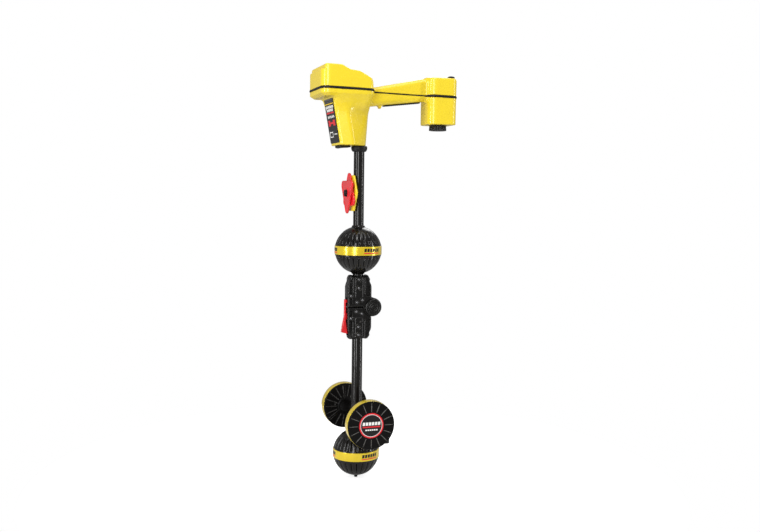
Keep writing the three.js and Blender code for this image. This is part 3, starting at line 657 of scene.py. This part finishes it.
def knob(x, y, z):
    """A fluted grip with a thumb bar across a recess below, and its screw above."""
    z0, z1 = 678.8, 689.3
    reach = hypot(x - KNOB_X, y)
    taper = interp(z, [z0, 681.5, z1], [17.2, 17.1, 16.5])
    flutes = 0.81 * abs(np.sin(np.arctan2(y, x - KNOB_X) * 14)) ** 0.7
    grip = meet(0.7, reach - taper + 0.9 - flutes, between(z, z0, z1))
    recess = maximum(reach - 13.4, z - 681.2)
    bridge = meet(0.8, maximum(abs(y) - 2.6, reach - 14), 679.4 - z)
    grip = fuse(0.5, carve(0.6, grip, recess), maximum(bridge, z - 682))
    return minimum(grip, maximum(reach - 3, between(z, 686, 704)))


def cells():
    jacket = moulded("cell_jacket", (64, 72, 84), 0.3, 0.9, 0.06, 900, 0.02, "cell_jacket")
    outline = [(0.01, 0), (9, 0), (9.4, 0.5), (12.2, 0.5), (12.8, 1.2), (12.8, 47.2), (12.2, 48), (4.6, 48),
               (3.2, 48.6), (3, 50), (0.01, 50)]
    points, faces = turned(soften(outline, 0.4), 48)
    ends = [not 1.4 < np.mean([points[v][2] for v in face]) < 46.8 for face in faces]
    for i, (sx, sy) in enumerate([(-1, -1), (1, -1), (1, 1), (-1, 1)], 1):
        where = placed(points, (KNOB_X + sx * 12.95, sy * 13.3, 694.2))
        make(f"cell_{i}", where, faces, [jacket, STEEL], HANDSET, f"battery_cell_{i}", groups=ends, sharp=38)


# ---- Display and keys ----
def keypad_point(u, v, w):
    """The place of a point given in the keypad's own coordinates."""
    c, s = math.cos(KEYPAD_TILT), math.sin(KEYPAD_TILT)
    return (KEYPAD_X + u * c + w * s, v, KEYPAD_Z - u * s + w * c)


def screen_place(u, v, out):
    return (u, v, 774.02 + out)


def pane(x, y, z):
    return meet(0.35, rectangle(x, y, -75, -39, -39, 39, 2.5), between(z, 778.3, 780.2))


def screen_frame(x, y, z):
    outer = meet(0.5, rectangle(x, y, -74, -40, -37, 37, 1), between(z, 769.5, 774.6))
    return carve(0.3, outer, maximum(rectangle(x, y, -71.5, -42.5, -34.5, 34.5, 1), 774 - z))


def display():
    """The window, the panel under it, and on that a bar graph, a dashed circle and small blocks."""
    glass = moulded("window_glass", (214, 224, 226), 0.06, 0.99, 0.02, 300, 0, "window")
    tree = glass.node_tree
    feed(tree, tree.nodes["Principled BSDF"], {"Transmission Weight": 0.92, "IOR": 1.49})
    metal = moulded("lcd_frame", (58, 60, 62), 0.4, 0.9, 0.06, 1500, 0.05, "display", metal=0.6)
    panel = moulded("lcd_face", (150, 163, 140), 0.32, 0.97, 0.04, 800, 0.01, "display")
    dark = moulded("lcd_ink", (46, 52, 44), 0.4, 0.9, 0.05, 800, 0.01)
    field_piece("window_pane", pane, (-76, -40, 777.5), (-38, 40, 781), 0.7, glass, HANDSET,
                "display_window")
    field_piece("lcd_module", screen_frame, (-75, -38, 768.5), (-39, 38, 775.6), 0.8, metal, HANDSET,
                "lcd_panel")
    dash = 360 / 28
    marks = [bar(-46.5, -44.2, -31 + 3.2 * i, -29 + 3.2 * i) for i in range(12)]
    marks += [arc(-58, 0, 10.1, 10.9, dash * i, dash * (i + 0.8)) for i in range(28)]
    marks += [bar(-66, -50, -0.3, 0.3), bar(-58.3, -57.7, -8, 8)]
    marks += [bar(-68, -62, v - 1.4, v + 1.4) for v in (-27, -22, 22, 27)]
    patches("lcd_image", [(bar(-71.3, -42.7, -34.3, 34.3), 0)], [panel], HANDSET, screen_place, 0.1)
    marks = [(mark, 1) for mark in marks]
    patches("lcd_marks", marks, [panel, dark], HANDSET, lift(screen_place, 0.11), 0.05)


def overlay(x, y, z):
    """The thin sheet over the keypad."""
    u, v, w = keypad_frame(x, y, z)
    sheet = meet(0.15, rectangle(u, v, -17.5, 17.5, -42, 42, 3), between(w, -0.35, 0.4))
    return maximum(sheet, -key_holes(u, v, 0.9))


def key_field(key, x, y, z):
    """A key with a crowned top, and a wide foot under the casing."""
    u, v, w = keypad_frame(x, y, z)
    ku, kv, _ = KEYS[key]
    crown = 0.012 * ((u - ku) ** 2 + 0.25 * (v - kv) ** 2)
    head = meet(1.2, key_outline(u, v, key), w - 3 + crown)
    foot = maximum(key_outline(u, v, key, 1), w + 3.4)
    return maximum(minimum(head, foot), -4.5 - w)


def keys():
    grey = moulded("key_grey", (120, 122, 124), 0.45, 0.92, 0.06, 2400, 0.08)
    symbols = {
        "key_power": [arc(8.5, -26, 2, 2.6, a, a + 24) for a in range(-150, 144, 24)]
        + [bar(5.2, 8.6, -26.3, -25.7)],
        "key_menu": [bar(-10.6 + 1.7 * i, -9.9 + 1.7 * i, -28.6, -23.4) for i in range(3)],
        "key_up": [[(-6.6, -2.8), (-6.6, 2.8), (-10.8, 0)]],
        "key_select": [arc(8.5, 0, 0, 2.2, a, a + 30) for a in range(0, 360, 30)],
        "key_sound": [bar(-1.2, 1.2, 22.6, 24.2)]
        + [arc(0, 24.6, 2.2, 2.8, a, a + 30) for a in (50, 80)]
        + [arc(0, 24.6, 3.8, 4.4, a, a + 25) for a in (55, 80)],
    }
    for key, (ku, kv, length) in KEYS.items():
        name = key.removeprefix("key_")
        centre = np.array(keypad_point(ku, kv, 0))
        reach = np.array([9, length / 2 + 2.5, 8])
        material = RED if key == "key_power" else grey
        field_piece(f"button_{name}", partial(key_field, key), centre - reach, centre + reach, 0.55, material,
                    f"{name}_key", key, "rubber")
        patches(f"icon_{name}", [(shape, 0) for shape in symbols[key]], [WHITE_INK], f"{name}_key",
                lift(keypad_point, 2.93), 0.14, "rubber")


# ---- Marker chips ----
def chip_field(corners, turn, corner_r, middle, x, y, z):
    """A chip with rounded corners, dished faces and a hole, at a place along X."""
    angles = [turn + 2 * math.pi * i / corners for i in range(corners)]
    out = MARKER_R - corner_r
    outline = [(out * math.cos(a), out * math.sin(a)) for a in angles]
    edge = outline_field(y, z - MARKER_Z, outline) - corner_r
    reach = hypot(y, z - MARKER_Z)
    dish = 0.75 * step_up(-edge - 2.6, 1.4) * (1 - clip((11.5 - reach) / 1.2, 0, 1))
    slab = meet(0.9, edge, abs(x - middle) - (MARKER_PITCH - 0.3) / 2 + dish)
    return carve(0.4, slab, reach - 6.85)


def plug(x, y, z):
    """The post that the chips sit on, with a lobed head slotted crosswise."""
    reach = hypot(y, z - MARKER_Z)
    stalk = maximum(reach - 6.2, between(x, -25.6, -6))
    lobes = reach - 5.6 - 0.9 * np.cos(4 * np.arctan2(z - MARKER_Z, y))
    head = meet(0.8, lobes, between(x, -29, -25))
    slots = maximum(minimum(abs(y), abs(z - MARKER_Z)) - 0.7, x + 27.4)
    return carve(0.4, fuse(0.6, stalk, head), slots)


def markers():
    for i, (name, node, corners, turn, corner_r, material) in enumerate([
        ("chip_yellow", "marker_yellow", 6, 0, 4, YELLOW),
        ("chip_red_rear", "marker_red_rear", 3, math.pi / 2, 9, RED),
        ("chip_red_front", "marker_red_front", 3, -math.pi / 2, 9, RED),
    ]):
        rear, half = MARKER_X - i * MARKER_PITCH, MARKER_R + 1
        field = partial(chip_field, corners, turn, corner_r, rear - (MARKER_PITCH - 0.3) / 2)
        field_piece(name, field, (rear - MARKER_PITCH - 0.6, -half, MARKER_Z - half),
                    (rear + 0.8, half, MARKER_Z + half), 0.8, material, "marker_stack", node)


# ---- Ball antennas ----
GORES = 24
SHELL_RIM = BALL_BAND + 0.3  # height of a shell's rim over the ball's middle
RIM_TURN = math.asin(SHELL_RIM / BALL_R)
MARK_TURNS = (-70.7, 49.3, 169.3)  # degrees round a ball's band
DEGREE = 0.79  # mm round the band


def gores(angle, r, h):
    """Shapes a ball's outer skin: a bead at the rim, grooves between gores and a star at the hub."""
    if abs(math.hypot(r, h) - BALL_R) > 0.01:
        return r, h
    past = math.degrees(math.atan2(h, r) - RIM_TURN)
    gore = angle * GORES / 2
    star = 24 + 6.4 * abs(gore / math.pi % 1 * 2 - 1)
    rise = 0.45 * max(0, 1 - abs(past - 1.4) / 1.5)
    if past > 3.2 and r > star:
        phase = abs(math.sin(gore))
        fade = min((r - star) / 2, 1) * min((past - 3.2) / 1.5, 1)
        rise -= fade * (1.3 * max(0, 1 - phase / 0.42) ** 1.4 + 0.9 * (1 - phase) ** 2)
    elif past > 3.2:
        rise += 0.25
    grown = 1 + rise / BALL_R
    return r * grown, h * grown


def ball_shell(side, hole, hub, hub_rise):
    """The upper (+1) or lower (-1) half of a ball about z = 0, with a hole in a raised hub."""
    inside, top = BALL_R - 3.6, BALL_R + hub_rise
    outer = np.linspace(RIM_TURN, math.acos(hub / BALL_R), 35)
    inner = np.linspace(math.acos(hole / inside), math.asin(SHELL_RIM / (inside + 1)), 11)
    outline = [(BALL_R * math.cos(t), BALL_R * math.sin(t)) for t in outer]
    outline += [(hub - 1, BALL_R + hub_rise * 0.6), (hub - 2, top), (hole, top)]
    outline += [(inside * math.cos(t), inside * math.sin(t)) for t in inner]
    outline += [(inside - 0.6, 0.15), (inside + 1.6, 0.15), (inside + 1.6, SHELL_RIM)]
    points, faces = turned(outline, GORES * 10, gores)
    points = np.array(points) * (1, 1, side)
    return points, facing_out(points, faces)


def ball(level, body):
    centre = (0, 0, BALLS_Z[level])
    bottom = (10.6, 13.2, 1) if level == "upper" else (3.7, 8, 0)
    for end, side, hub in (("top", 1, (10.6, 13.2, 2.2)), ("bottom", -1, bottom)):
        points, faces = ball_shell(side, *hub)
        node = f"{level}_ball_{end}"
        make(f"{level}_shell_{end}", points + centre, faces, GLOSS_BLACK, body, node, sharp=50)
    b, r = BALL_BAND, BALL_R + 0.2
    outline = [(43.7, -b), (r - 0.4, -b), (r, -b + 0.5), (r, b - 0.5), (r - 0.4, b), (43.7, b)]
    turned_piece(f"{level}_band_ring", outline, 0.3, 144, BAND_YELLOW, body, f"{level}_ball_band", centre)

    def place(u, v, out):
        turn = math.radians(u / DEGREE)
        return ((r + out) * math.cos(turn), (r + out) * math.sin(turn), centre[2] + v)

    marks = []
    for middle in MARK_TURNS:
        for i in range(6):
            marks += row(0, 2, middle * DEGREE - 17.2 + 5.9 * i, 2.3, 2.3, -1.4, 4.9, 0.9)
        marks += row(1, 12, middle * DEGREE - 17.4, 2.9, 2.9, -4.9, -2.9)
    patches(f"{level}_band_marks", marks, [BLACK_INK, RED_INK], body, place, 0.1)


# ---- Folding joint ----
# One moulding's side outline above the hinge plane: distance rearwards, then away from the plane.
JOINT_OUTLINE = [
    (JOINT_FRONT, 0.3), (JOINT_REAR, 0.3), (JOINT_REAR, 39), (JOINT_REAR - 3.4, 55), (17.5, JOINT_REACH),
    (-17, JOINT_REACH), (JOINT_FRONT + 3.4, 55), (JOINT_FRONT, 39),
]
# Screws on each side of the upper and the lower moulding: X, then height over the hinge plane.
JOINT_SCREWS = {1: [(-1, 53.9), (-1, 37.4), (-16.4, 22.5), (-4, 9.9), (6.4, 14)],
                -1: [(-5.4, 8.2), (5.6, 12.4), (-16, 21.1), (-1, 37.3), (-1, 53.3)]}
SCREW_R = 2.5
LEVER_PIN_X, LEVER_PIN_Z = -15.8, 318


def joint_relief(x, d, side):
    """How far a moulding's flank stands out: pockets with cross ribs, long ribs, bosses and wells."""
    deep = minimum(rectangle(x, d, -20.4, -13.6, 6, 54, 2.5), rectangle(x, d, 12.3, 22.4, 21, 53, 2.5))
    cross_ribs = step_up(1 - abs((d + 3) % 12 - 6), 1.4)
    pocket = 2.8 * step_up(-deep, 2) * (1 - 0.85 * cross_ribs)
    rib = minimum(rectangle(x, d, -13.6, -10.8, 28, 58.5, 1.3), rectangle(x, d, 9.5, 12.3, 26, 58.5, 1.3))
    raised = step_up(-rib, 1.1)
    if side < 0:  # a slanting ridge on the lower moulding only
        along = clip(((x - 3.5) * 10 - (d - 29) * 6) / 136, 0, 1)
        ridge = hypot(x - 3.5 - 10 * along, d - 29 + 6 * along)
        raised = maximum(raised, step_up(1.9 - ridge, 1.1))
    hollow = 0.9 * step_up(8.6 - abs(x + 0.6), 3) * step_up(d - 18, 3) * step_up(59 - d, 2)
    reach = reduce(minimum, (hypot(x - sx, d - sd) for sx, sd in JOINT_SCREWS[side]))
    bosses, wells = step_up(5 - reach, 1.1), step_up(3.4 - reach, 0.9)
    return maximum(raised, bosses) - maximum(pocket, hollow) * (1 - bosses) - 2 * wells


def joint_field(side, x, y, z):
    """The whole upper (+1) or lower (-1) moulding, before it parts at y = 0."""
    d = (z - HINGE_Z) * side
    flank = abs(y)
    body = meet(4.5, outline_field(x, d, JOINT_OUTLINE), flank - JOINT_HALF - joint_relief(x, d, side))
    for notch_x in (-24.6, 26.2):
        body = carve(1.5, body, hypot(x - notch_x, (d - 50.5) * 0.8) - 4.6)
    to_ear = minimum(*(hypot(x - ear_x, d - (JOINT_REACH - 4.5)) for ear_x in (-14.5, 15.5)))
    body = fuse(1.2, body, meet(1.5, to_ear - 6, flank - 5))
    to_hinge = hypot(x - HINGE_X, z - HINGE_Z)
    if side > 0:  # two arms round the hinge, the lever's channel and the catch bar's hole
        arms = meet(1, to_hinge - 18, maximum(flank - JOINT_HALF, 6.9 - flank))
        body = carve(0.5, fuse(1.2, body, arms), maximum(to_hinge - 16.5, flank - 6.9))
        channel = maximum(rectangle(x, y, -40, -16.5, -5, 5, 1.5), z - 355)
        hole = rectangle(x, z, -16.5, -12.5, 340.2, 343.8)
    else:  # one arm between them, the lever's channel and its pin's hole
        body = carve(0.8, body, maximum(to_hinge - 18.5, 6.7 - flank))
        body = fuse(0.8, body, meet(0.8, to_hinge - 16, flank - 6.5))
        channel = maximum(rectangle(x, y, -40, -13, -6, 6, 1.5), 281 - z)
        hole = hypot(x - LEVER_PIN_X, z - LEVER_PIN_Z) - 1.9
    body = carve(0.2, carve(0.8, body, channel), maximum(hole, flank - 10.3))
    bore = maximum(hypot(x, y) - MAST_R - 0.35, 16 - d)
    return carve(0.3, carve(0.5, body, bore), to_hinge - 5.3)


def joint_half(side, hand, x, y, z):
    return meet(0.35, joint_field(side, x, y, z), 0.12 - hand * y)


def joint():
    for side, level, body, z0, z1 in ((1, "upper", HANDSET, 317, 399), (-1, "lower", LOWER, 273, 355)):
        screws = []
        for hand, name in HANDS:
            y0, y1 = sorted((15 * hand, -hand))
            field_piece(f"joint_{level}_shell_{name}", partial(joint_half, side, hand), (-25, y0, z0),
                        (46, y1, z1), 0.58, SATIN_BLACK, body, f"joint_{level}_{name}")
            seat_y = hand * (JOINT_HALF - 1.15)
            screws += [((sx, seat_y, HINGE_Z + side * sd), (0, hand, 0)) for sx, sd in JOINT_SCREWS[side]]
        screw_set(f"joint_{level}_screws", screws, body)


def screw_head(x, y, z):
    """A pan head with a cross recess, about the origin."""
    r = SCREW_R
    dome = maximum(np.sqrt(x * x + y * y + (z + 1.55 * r) ** 2) - 2.1 * r, -z)
    small, large = minimum(abs(x), abs(y)), maximum(abs(x), abs(y))
    cross = maximum(small - 0.15 * r, large - 0.62 * r)
    return carve(0.05 * r, meet(0.15 * r, hypot(x, y) - r, dome), maximum(cross, 0.16 * r - z))


def screw_set(name, places, body):
    """Screws in one mesh, each turned its own way; each place is a seat and a direction."""
    r = 1.15 * SCREW_R
    points, quads, normals = skin(screw_head, (-r, -r, -0.12 * SCREW_R), (r, r, 0.7 * SCREW_R), SCREW_R / 9)
    where, faces, facing = [], [], []
    for i, (seat, direction) in enumerate(places):
        turn = (1, 0, 0.3 + 0.37 * (i % 5))
        where.append(placed(points, seat, direction, turn))
        faces.append(quads + i * len(points))
        facing.append(placed(normals, (0, 0, 0), direction, turn))
    make(name, np.concatenate(where), np.concatenate(faces), STEEL, body, normals=np.concatenate(facing))


def hinge_caps():
    """Two round caps, drawn from the flank out along the hinge, with rings on their faces."""
    r, y0, y1 = 16, JOINT_HALF + 0.3, 20.5
    outline = [(0.01, y0 + 3), (5.3, y0 + 3), (5.3, y0), (r - 1, y0), (r, y0 + 0.8), (r, y1 - 2)]
    outline += [(r - inward, y1 - sunk) for inward, sunk in (
        (1.6, 0.3), (3.2, 0), (4.2, 0), (4.8, 0.9), (7, 0.9), (7.6, 0.2), (8.6, 0.2), (9.2, 1),
        (11.4, 1), (12, 0.1))]
    outline.append((0.01, y1 - 0.1))
    for hand, name in HANDS:
        turned_piece(f"hinge_cover_{name}", outline, 0.5, 72, SATIN_BLACK, HANDSET, f"hinge_cap_{name}",
                     (HINGE_X, 0, HINGE_Z), (0, hand, 0), 60)


def lever_field(x, y, z):
    """The release lever: a flared strap with a hook at its top, a lug at its pin and a ribbed end."""
    strap = [(-26.6, 351), (-24.2, 351), (-24.2, 308), (-22, 291.5), (-20.8, 284.5), (-32.6, 287.5),
             (-31, 297.5), (-27, 318)]
    width = interp(z, [284, 300, 318], [5.2, 4.4, 4])
    body = meet(0.9, outline_field(x, z, strap), abs(y) - width)
    for outline, half in (([(-25.4, 350.6), (-16.7, 349), (-16.7, 345), (-25.4, 345)], 3.5),
                          ([(-25.4, 325), (-14.4, 321), (-14.4, 315), (-25.4, 311)], 2)):
        body = fuse(0.8, body, meet(0.4, outline_field(x, z, outline), abs(y) - half))
    grooves = maximum(abs((z - 290) % 2.6 - 1.3) - 0.45, maximum(x + 30, z - 300))
    return carve(0.2, carve(0.2, body, grooves), hypot(x - LEVER_PIN_X, z - LEVER_PIN_Z) - 1.8)


# ---- Disc antennas and their yoke ----
FACE = DISC_HALF - 0.5  # height of a cover's face over the disc's middle plane


def rib(angle, r, count, turn, half, low, high):
    """How far a point is up a radial rib, 0 to 1; count ribs run between two radii."""
    away = abs((angle * count / (2 * math.pi) + turn + 0.5) % 1 - 0.5) * 2 * math.pi / count * r
    along = min(max((r - low) / 1.5, 0), 1) * min(max((high - r) / 1.5, 0), 1)
    return min(max((half - away) / 0.8, 0), 1) * along


def outer_relief(angle, r, h):
    """The outer cover's sixteen radial ribs."""
    return r, h + (0.8 * rib(angle, r, 16, 0, 1.1, 24.8, 43.2) if h > DISC_HALF - 0.6 else 0)


def inner_relief(angle, r, h):
    """The inner cover's eighteen thin ribs, three broad ones and small bosses round the hub."""
    if h < DISC_HALF - 0.6:
        return r, h
    thin = 0.7 * rib(angle, r, 18, 0, 1, 18, 43.2)
    broad = 1.3 * rib(angle, r, 3, 0.2, 2.4, 10, 43.6)
    rise = max(thin, broad) if r > 16.6 else max(0, FACE + broad - h)
    for i in range(3):
        turn = angle - 2 * math.pi * i / 3 - 0.9
        away = math.hypot(r * math.cos(turn) - 20.5, r * math.sin(turn))
        rise = max(rise, 1.5 * min(max((3.4 - away) / 0.9, 0), 1))
    return r, h + rise


PLAIN_MIDDLE = [(0.01, FACE - 0.6), (23.7, FACE - 0.6), (24, FACE)]
HUB = [(0.01, FACE + 0.4), (10.4, FACE + 0.4), (11.4, FACE + 1.1), (15, FACE + 1.1), (16.2, FACE + 0.2)]
HUB += [(16.6 + 0.74 * i, FACE) for i in range(11)]
# Each cover: its section's middle, its relief, which way it faces, and the lighter grey painted on its ribs'
# crests as a highlight.
COVERS = (("outer", PLAIN_MIDDLE, outer_relief, 1, RIB_HIGHLIGHT_GREY),
          ("inner", HUB, inner_relief, -1, RIB_HIGHLIGHT_DIM))


def cover(middle, relief):
    """A cover about the disc's middle: points, faces and which faces are the ribs' crests."""
    over = [(24.4 + 0.75 * i, FACE) for i in range(25)]
    rim = [(43.6, FACE), (44.6, FACE - 0.3), (45.3, FACE - 1), (45.5, FACE - 2), (45.5, DISC_BAND + 0.35),
           (43.5, DISC_BAND + 0.35), (43.5, 0.15), (41.6, 0.15), (41.6, FACE - 3.4), (40.4, FACE - 2.3)]
    points, faces = turned(middle + over + rim + [(0.01, FACE - 2.3)], 640, relief)
    crests = [FACE + 0.35 < min(points[v][2] for v in f) < FACE + 0.85 and math.hypot(*points[f[0]][:2]) > 17
              for f in faces]
    return points, faces, crests


def socket(hand, x, y, z):
    """The block at the lower rear of an inner cover that holds the end of the yoke's arm."""
    u, v, out = x, z - DISC_Z, DISC_Y - hand * y
    reach = hypot(u, v)
    block = meet(1.2, rectangle(u, v, 20, 39.2, -39.4, -25.2, 2), between(out, -2.2, DISC_HALF + 2.4))
    band = maximum(reach - DISC_R - 0.6, out - DISC_BAND - 0.3)
    shell = maximum(reach - 45.2, out - (DISC_HALF - 0.8))
    return maximum(maximum(block, -minimum(band, shell)), 0.3 - out)


def discs():
    rim = [(43.8, -DISC_BAND), (DISC_R, -DISC_BAND), (DISC_R, DISC_BAND), (43.8, DISC_BAND)]
    for part, middle, relief, facing, painted_highlight in COVERS:
        points, faces, crests = cover(middle, relief)
        for hand, name in HANDS:
            where = placed(points, (0, hand * DISC_Y, DISC_Z), (0, hand * facing, 0))
            # The ribs' crest faces take the lighter grey, a painted highlight.
            make(f"disc_{name}_{part}", where, facing_out(where, faces), [DISC_BLACK, painted_highlight], LOWER,
                 f"disc_{name}_{part}_cover", groups=crests, sharp=50)
    for hand, name in HANDS:
        y0, y1 = sorted((hand * (DISC_Y + 1), hand * (DISC_Y - 15)))
        low, high = (17, y0, DISC_Z - 42), (42, y1, DISC_Z - 23)
        field_piece(f"disc_{name}_socket", partial(socket, hand), low, high, 0.7, SATIN_BLACK, LOWER)
        turned_piece(f"disc_{name}_rim", rim, 0.4, 144, BAND_YELLOW, LOWER, f"disc_{name}_band",
                     (0, hand * DISC_Y, DISC_Z), (0, hand, 0))
        badge(name, hand)


def badge(name, hand):
    """The round badge on a disc's outer face: dark middle, light line, red ring and plain marks."""

    def place(u, v, out):
        return (-hand * u, hand * (DISC_Y + DISC_HALF - 1.1 + out), DISC_Z + v)

    dark, red, light = range(3)
    steps = 96
    marks = []
    for r0, r1, kind in ((0, 20.3, dark), (20.3, 21.1, light), (21.1, 23.7, red)):
        for i in range(steps):
            piece = arc(0, 0, r0, r1, 360 * i / steps, 360 * (i + 1) / steps)
            marks.append((piece if r0 else piece[:3], kind))
    patches(f"disc_{name}_badge", marks, [BLACK_INK, RED_INK, WHITE_INK], LOWER, place, 0.5)
    signs = row(0, 6, -17.2, 5.9, 4.6, 0.6, 6.6, 0.8) + row(1, 1, -17, 0, 34.6, -3.6, -1.2)
    signs += row(0, 6, -11.6, 4.1, 3.2, -9.4, -6.8)
    patches(f"disc_{name}_signs", signs, [WHITE_INK, RED_INK], LOWER, lift(place, 0.5), 0.08)


def yoke_field(x, y, z):
    """A clamp round the mast and two arms that slope down and rearwards to the discs."""
    side = abs(y)
    clamp = meet(2, hypot(x, y) - 15, between(z, 104, 122))
    t = clip((side - 6) / (70.8 - 6), 0, 1)
    section = rectangle(x, z, 2 + 22 * t, 16 + 22 * t, 106 - 19.5 * t, 120 - 22.5 * t, 3)
    arm = meet(2.5, section, side - 70.8)
    return carve(0.6, fuse(4, clamp, arm * 0.93), hypot(x, y) - MAST_R - 0.35)


# ---- CAD nodes that show as they are ----
def inner_parts():
    board = moulded("circuit_board", (32, 96, 62), 0.4, 0.75, 0.08, 700, 0.1)
    copper = moulded("copper_wire", (176, 108, 66), 0.35, 0.7, 0.1, 500, 0.4, metal=1)
    for material, nodes in (
        (board, ["main_board", "contact_plate"]),
        (SATIN_BLACK, ["speaker"]),
        (RUBBER, ["keypad_mat"]),
        (copper, ["upper_windings", "lower_windings", "disc_left_coil", "disc_right_coil"]),
        (STEEL, ["hinge_pin", "lever_pin", "lever_spring", "latch_catch"]),
    ):
        for node in nodes:
            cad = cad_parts[node]
            cad.data.materials.clear()
            cad.data.materials.append(material)


# ---- Floor, light and camera ----
SKY_FILL, SKY_SEEN = 0.34, 1  # world strength as light, and as the white backdrop
FLOOR_R = 0.62  # metres
FLOOR_GLOW = 0.72  # only to the camera, so that the floor's edge melts into the backdrop
LAMPS_AIM = Vector((0.03, 0, 0.42))
LAMPS = [  # name, place and size in metres, watts
    ("left_strip", (-1.9, -0.45, 0.35), (0.15, 3), 27),
    ("front_strip", (-1.15, -1.75, 0.85), (0.5, 1.9), 23),
    ("right_strip", (1.8, -0.9, 0.35), (0.14, 3), 22),
    ("high_lamp", (-0.32, -0.95, 2.2), (0.35, 0.5), 7),
    ("top_softbox", (0.1, -0.3, 2.3), (1.3, 1.3), 12),
    ("rear_softbox", (1.2, 1.9, 1.9), (1, 1.4), 16),
]
CAMERA_PLACE = (-518.722, -1672.997, 555.164)
CAMERA_TURNS = (18.618, 4.555, 0.716)  # yaw, pitch and roll in degrees
FOCAL, FRAME_WIDTH, SENSOR = 910.483, 760, 36  # the first two share a unit; the sensor is in mm


def for_camera(tree, otherwise, seen):
    """One number for what the camera sees and another for light."""
    ray = tree.nodes.new("ShaderNodeLightPath")
    return ramp(tree, ray.outputs["Is Camera Ray"], otherwise, seen, (0, 1))


def stage():
    """A wide pale floor, a white world and soft studio lamps."""
    bpy.ops.mesh.primitive_circle_add(vertices=128, radius=FLOOR_R, fill_type="NGON", location=(0, 0, 0))
    floor = bpy.context.object
    floor.name = "floor"
    paper = moulded("floor_paper", (222, 222, 222), 0.85, 0.995, 0.05, 200, 0.01, shine=0.05)
    tree = paper.node_tree
    glow = {"Emission Color": (1, 1, 1, 1), "Emission Strength": for_camera(tree, 0, FLOOR_GLOW)}
    feed(tree, tree.nodes["Principled BSDF"], glow)
    floor.data.materials.append(paper)

    world = bpy.data.worlds.new("studio")
    bpy.context.scene.world = world
    world.use_nodes = True
    tree = world.node_tree
    sky = {"Color": (1, 1, 1, 1), "Strength": for_camera(tree, SKY_FILL, SKY_SEEN)}
    feed(tree, tree.nodes["Background"], sky)

    for name, place, size, power in LAMPS:
        light = bpy.data.lights.new(name, "AREA")
        light.shape = "RECTANGLE"
        light.size, light.size_y = size
        light.energy = power
        lamp = bpy.data.objects.new(name, light)
        lamp.location = place
        lamp.rotation_euler = (LAMPS_AIM - Vector(place)).to_track_quat("-Z", "Y").to_euler()
        bpy.context.scene.collection.objects.link(lamp)


def camera():
    yaw, pitch, roll = (math.radians(a) for a in CAMERA_TURNS)
    forward = Vector((math.sin(yaw) * math.cos(pitch), math.cos(yaw) * math.cos(pitch), -math.sin(pitch)))
    right = Vector((math.cos(yaw), -math.sin(yaw), 0))
    up = right.cross(forward)
    rolled_right = right * math.cos(roll) + up * math.sin(roll)
    rolled_up = -right * math.sin(roll) + up * math.cos(roll)
    turn = Matrix((rolled_right, rolled_up, -forward)).transposed().to_4x4()
    seer = bpy.data.objects.new("camera", bpy.data.cameras.new("camera"))
    seer.data.sensor_width = SENSOR
    seer.data.lens = SENSOR * FOCAL / FRAME_WIDTH
    seer.matrix_world = Matrix.Translation(Vector(CAMERA_PLACE) * MM) @ turn
    bpy.context.scene.collection.objects.link(seer)
    bpy.context.scene.camera = seer
    bpy.context.scene.view_settings.view_transform = "Standard"


# Single moulded pieces: name, field, box, step, finish, body and the CAD node that each stands for.
for entry in (
    ("casing_top", partial(half_casing, 1), (-91, -58, 738), (194, 58, 794), 1.25, YELLOW, HANDSET,
     "upper_casing"),
    ("casing_bottom", partial(half_casing, -1), (-91, -58, 640), (194, 58, 750), 1.25, YELLOW, HANDSET,
     "lower_casing"),
    ("seam_seal", seal_field, (-91, -58, 738), (194, 58, 752), 0.9, RUBBER, HANDSET, "seam_gasket"),
    ("label_plate", plate, (-63.5, -31, 647.5), (-45.5, 31, 733.5), 0.55, BLACK_INK, HANDSET, "stem_label"),
    ("flap_leaf", flap, (-47, -17, 638), (-18, 17, 646), 0.6, RUBBER, "flap", "port_flap"),
    ("grip_rubber", grip, (45, -8.5, 719), (123, 8.5, 734.5), 0.7, RUBBER, HANDSET, "grip_strip"),
    ("door_panel", door, (133, -29.5, 688.5), (188.5, 29.5, 694), 0.8, YELLOW, "door", "battery_door"),
    ("knurled_knob", knob, (142, -18.5, 677.5), (179, 18.5, 705), 0.62, SATIN_BLACK, "knob", "door_knob"),
    ("keypad_overlay", overlay, (-34, -43, 764), (5, 43, 781), 0.6, SATIN_BLACK, HANDSET),
    ("chip_post", plug, (-30, -8, 547), (-5, 8, 563), 0.55, RUBBER, HANDSET, "marker_post"),
    ("lever_arm", lever_field, (-34, -6, 283), (-13, 6, 352.5), 0.6, RED, "lever", "release_lever"),
    ("yoke", yoke_field, (-17, -72, 84), (41, 72, 124), 1, SATIN_BLACK, LOWER, "antenna_yoke"),
):
    field_piece(*entry)
label_marks()
mast_pieces()
jack_cap()
cells()
display()
keys()
markers()
ball("upper", HANDSET)
ball("lower", LOWER)
joint()
hinge_caps()
discs()
inner_parts()
stage()
camera()
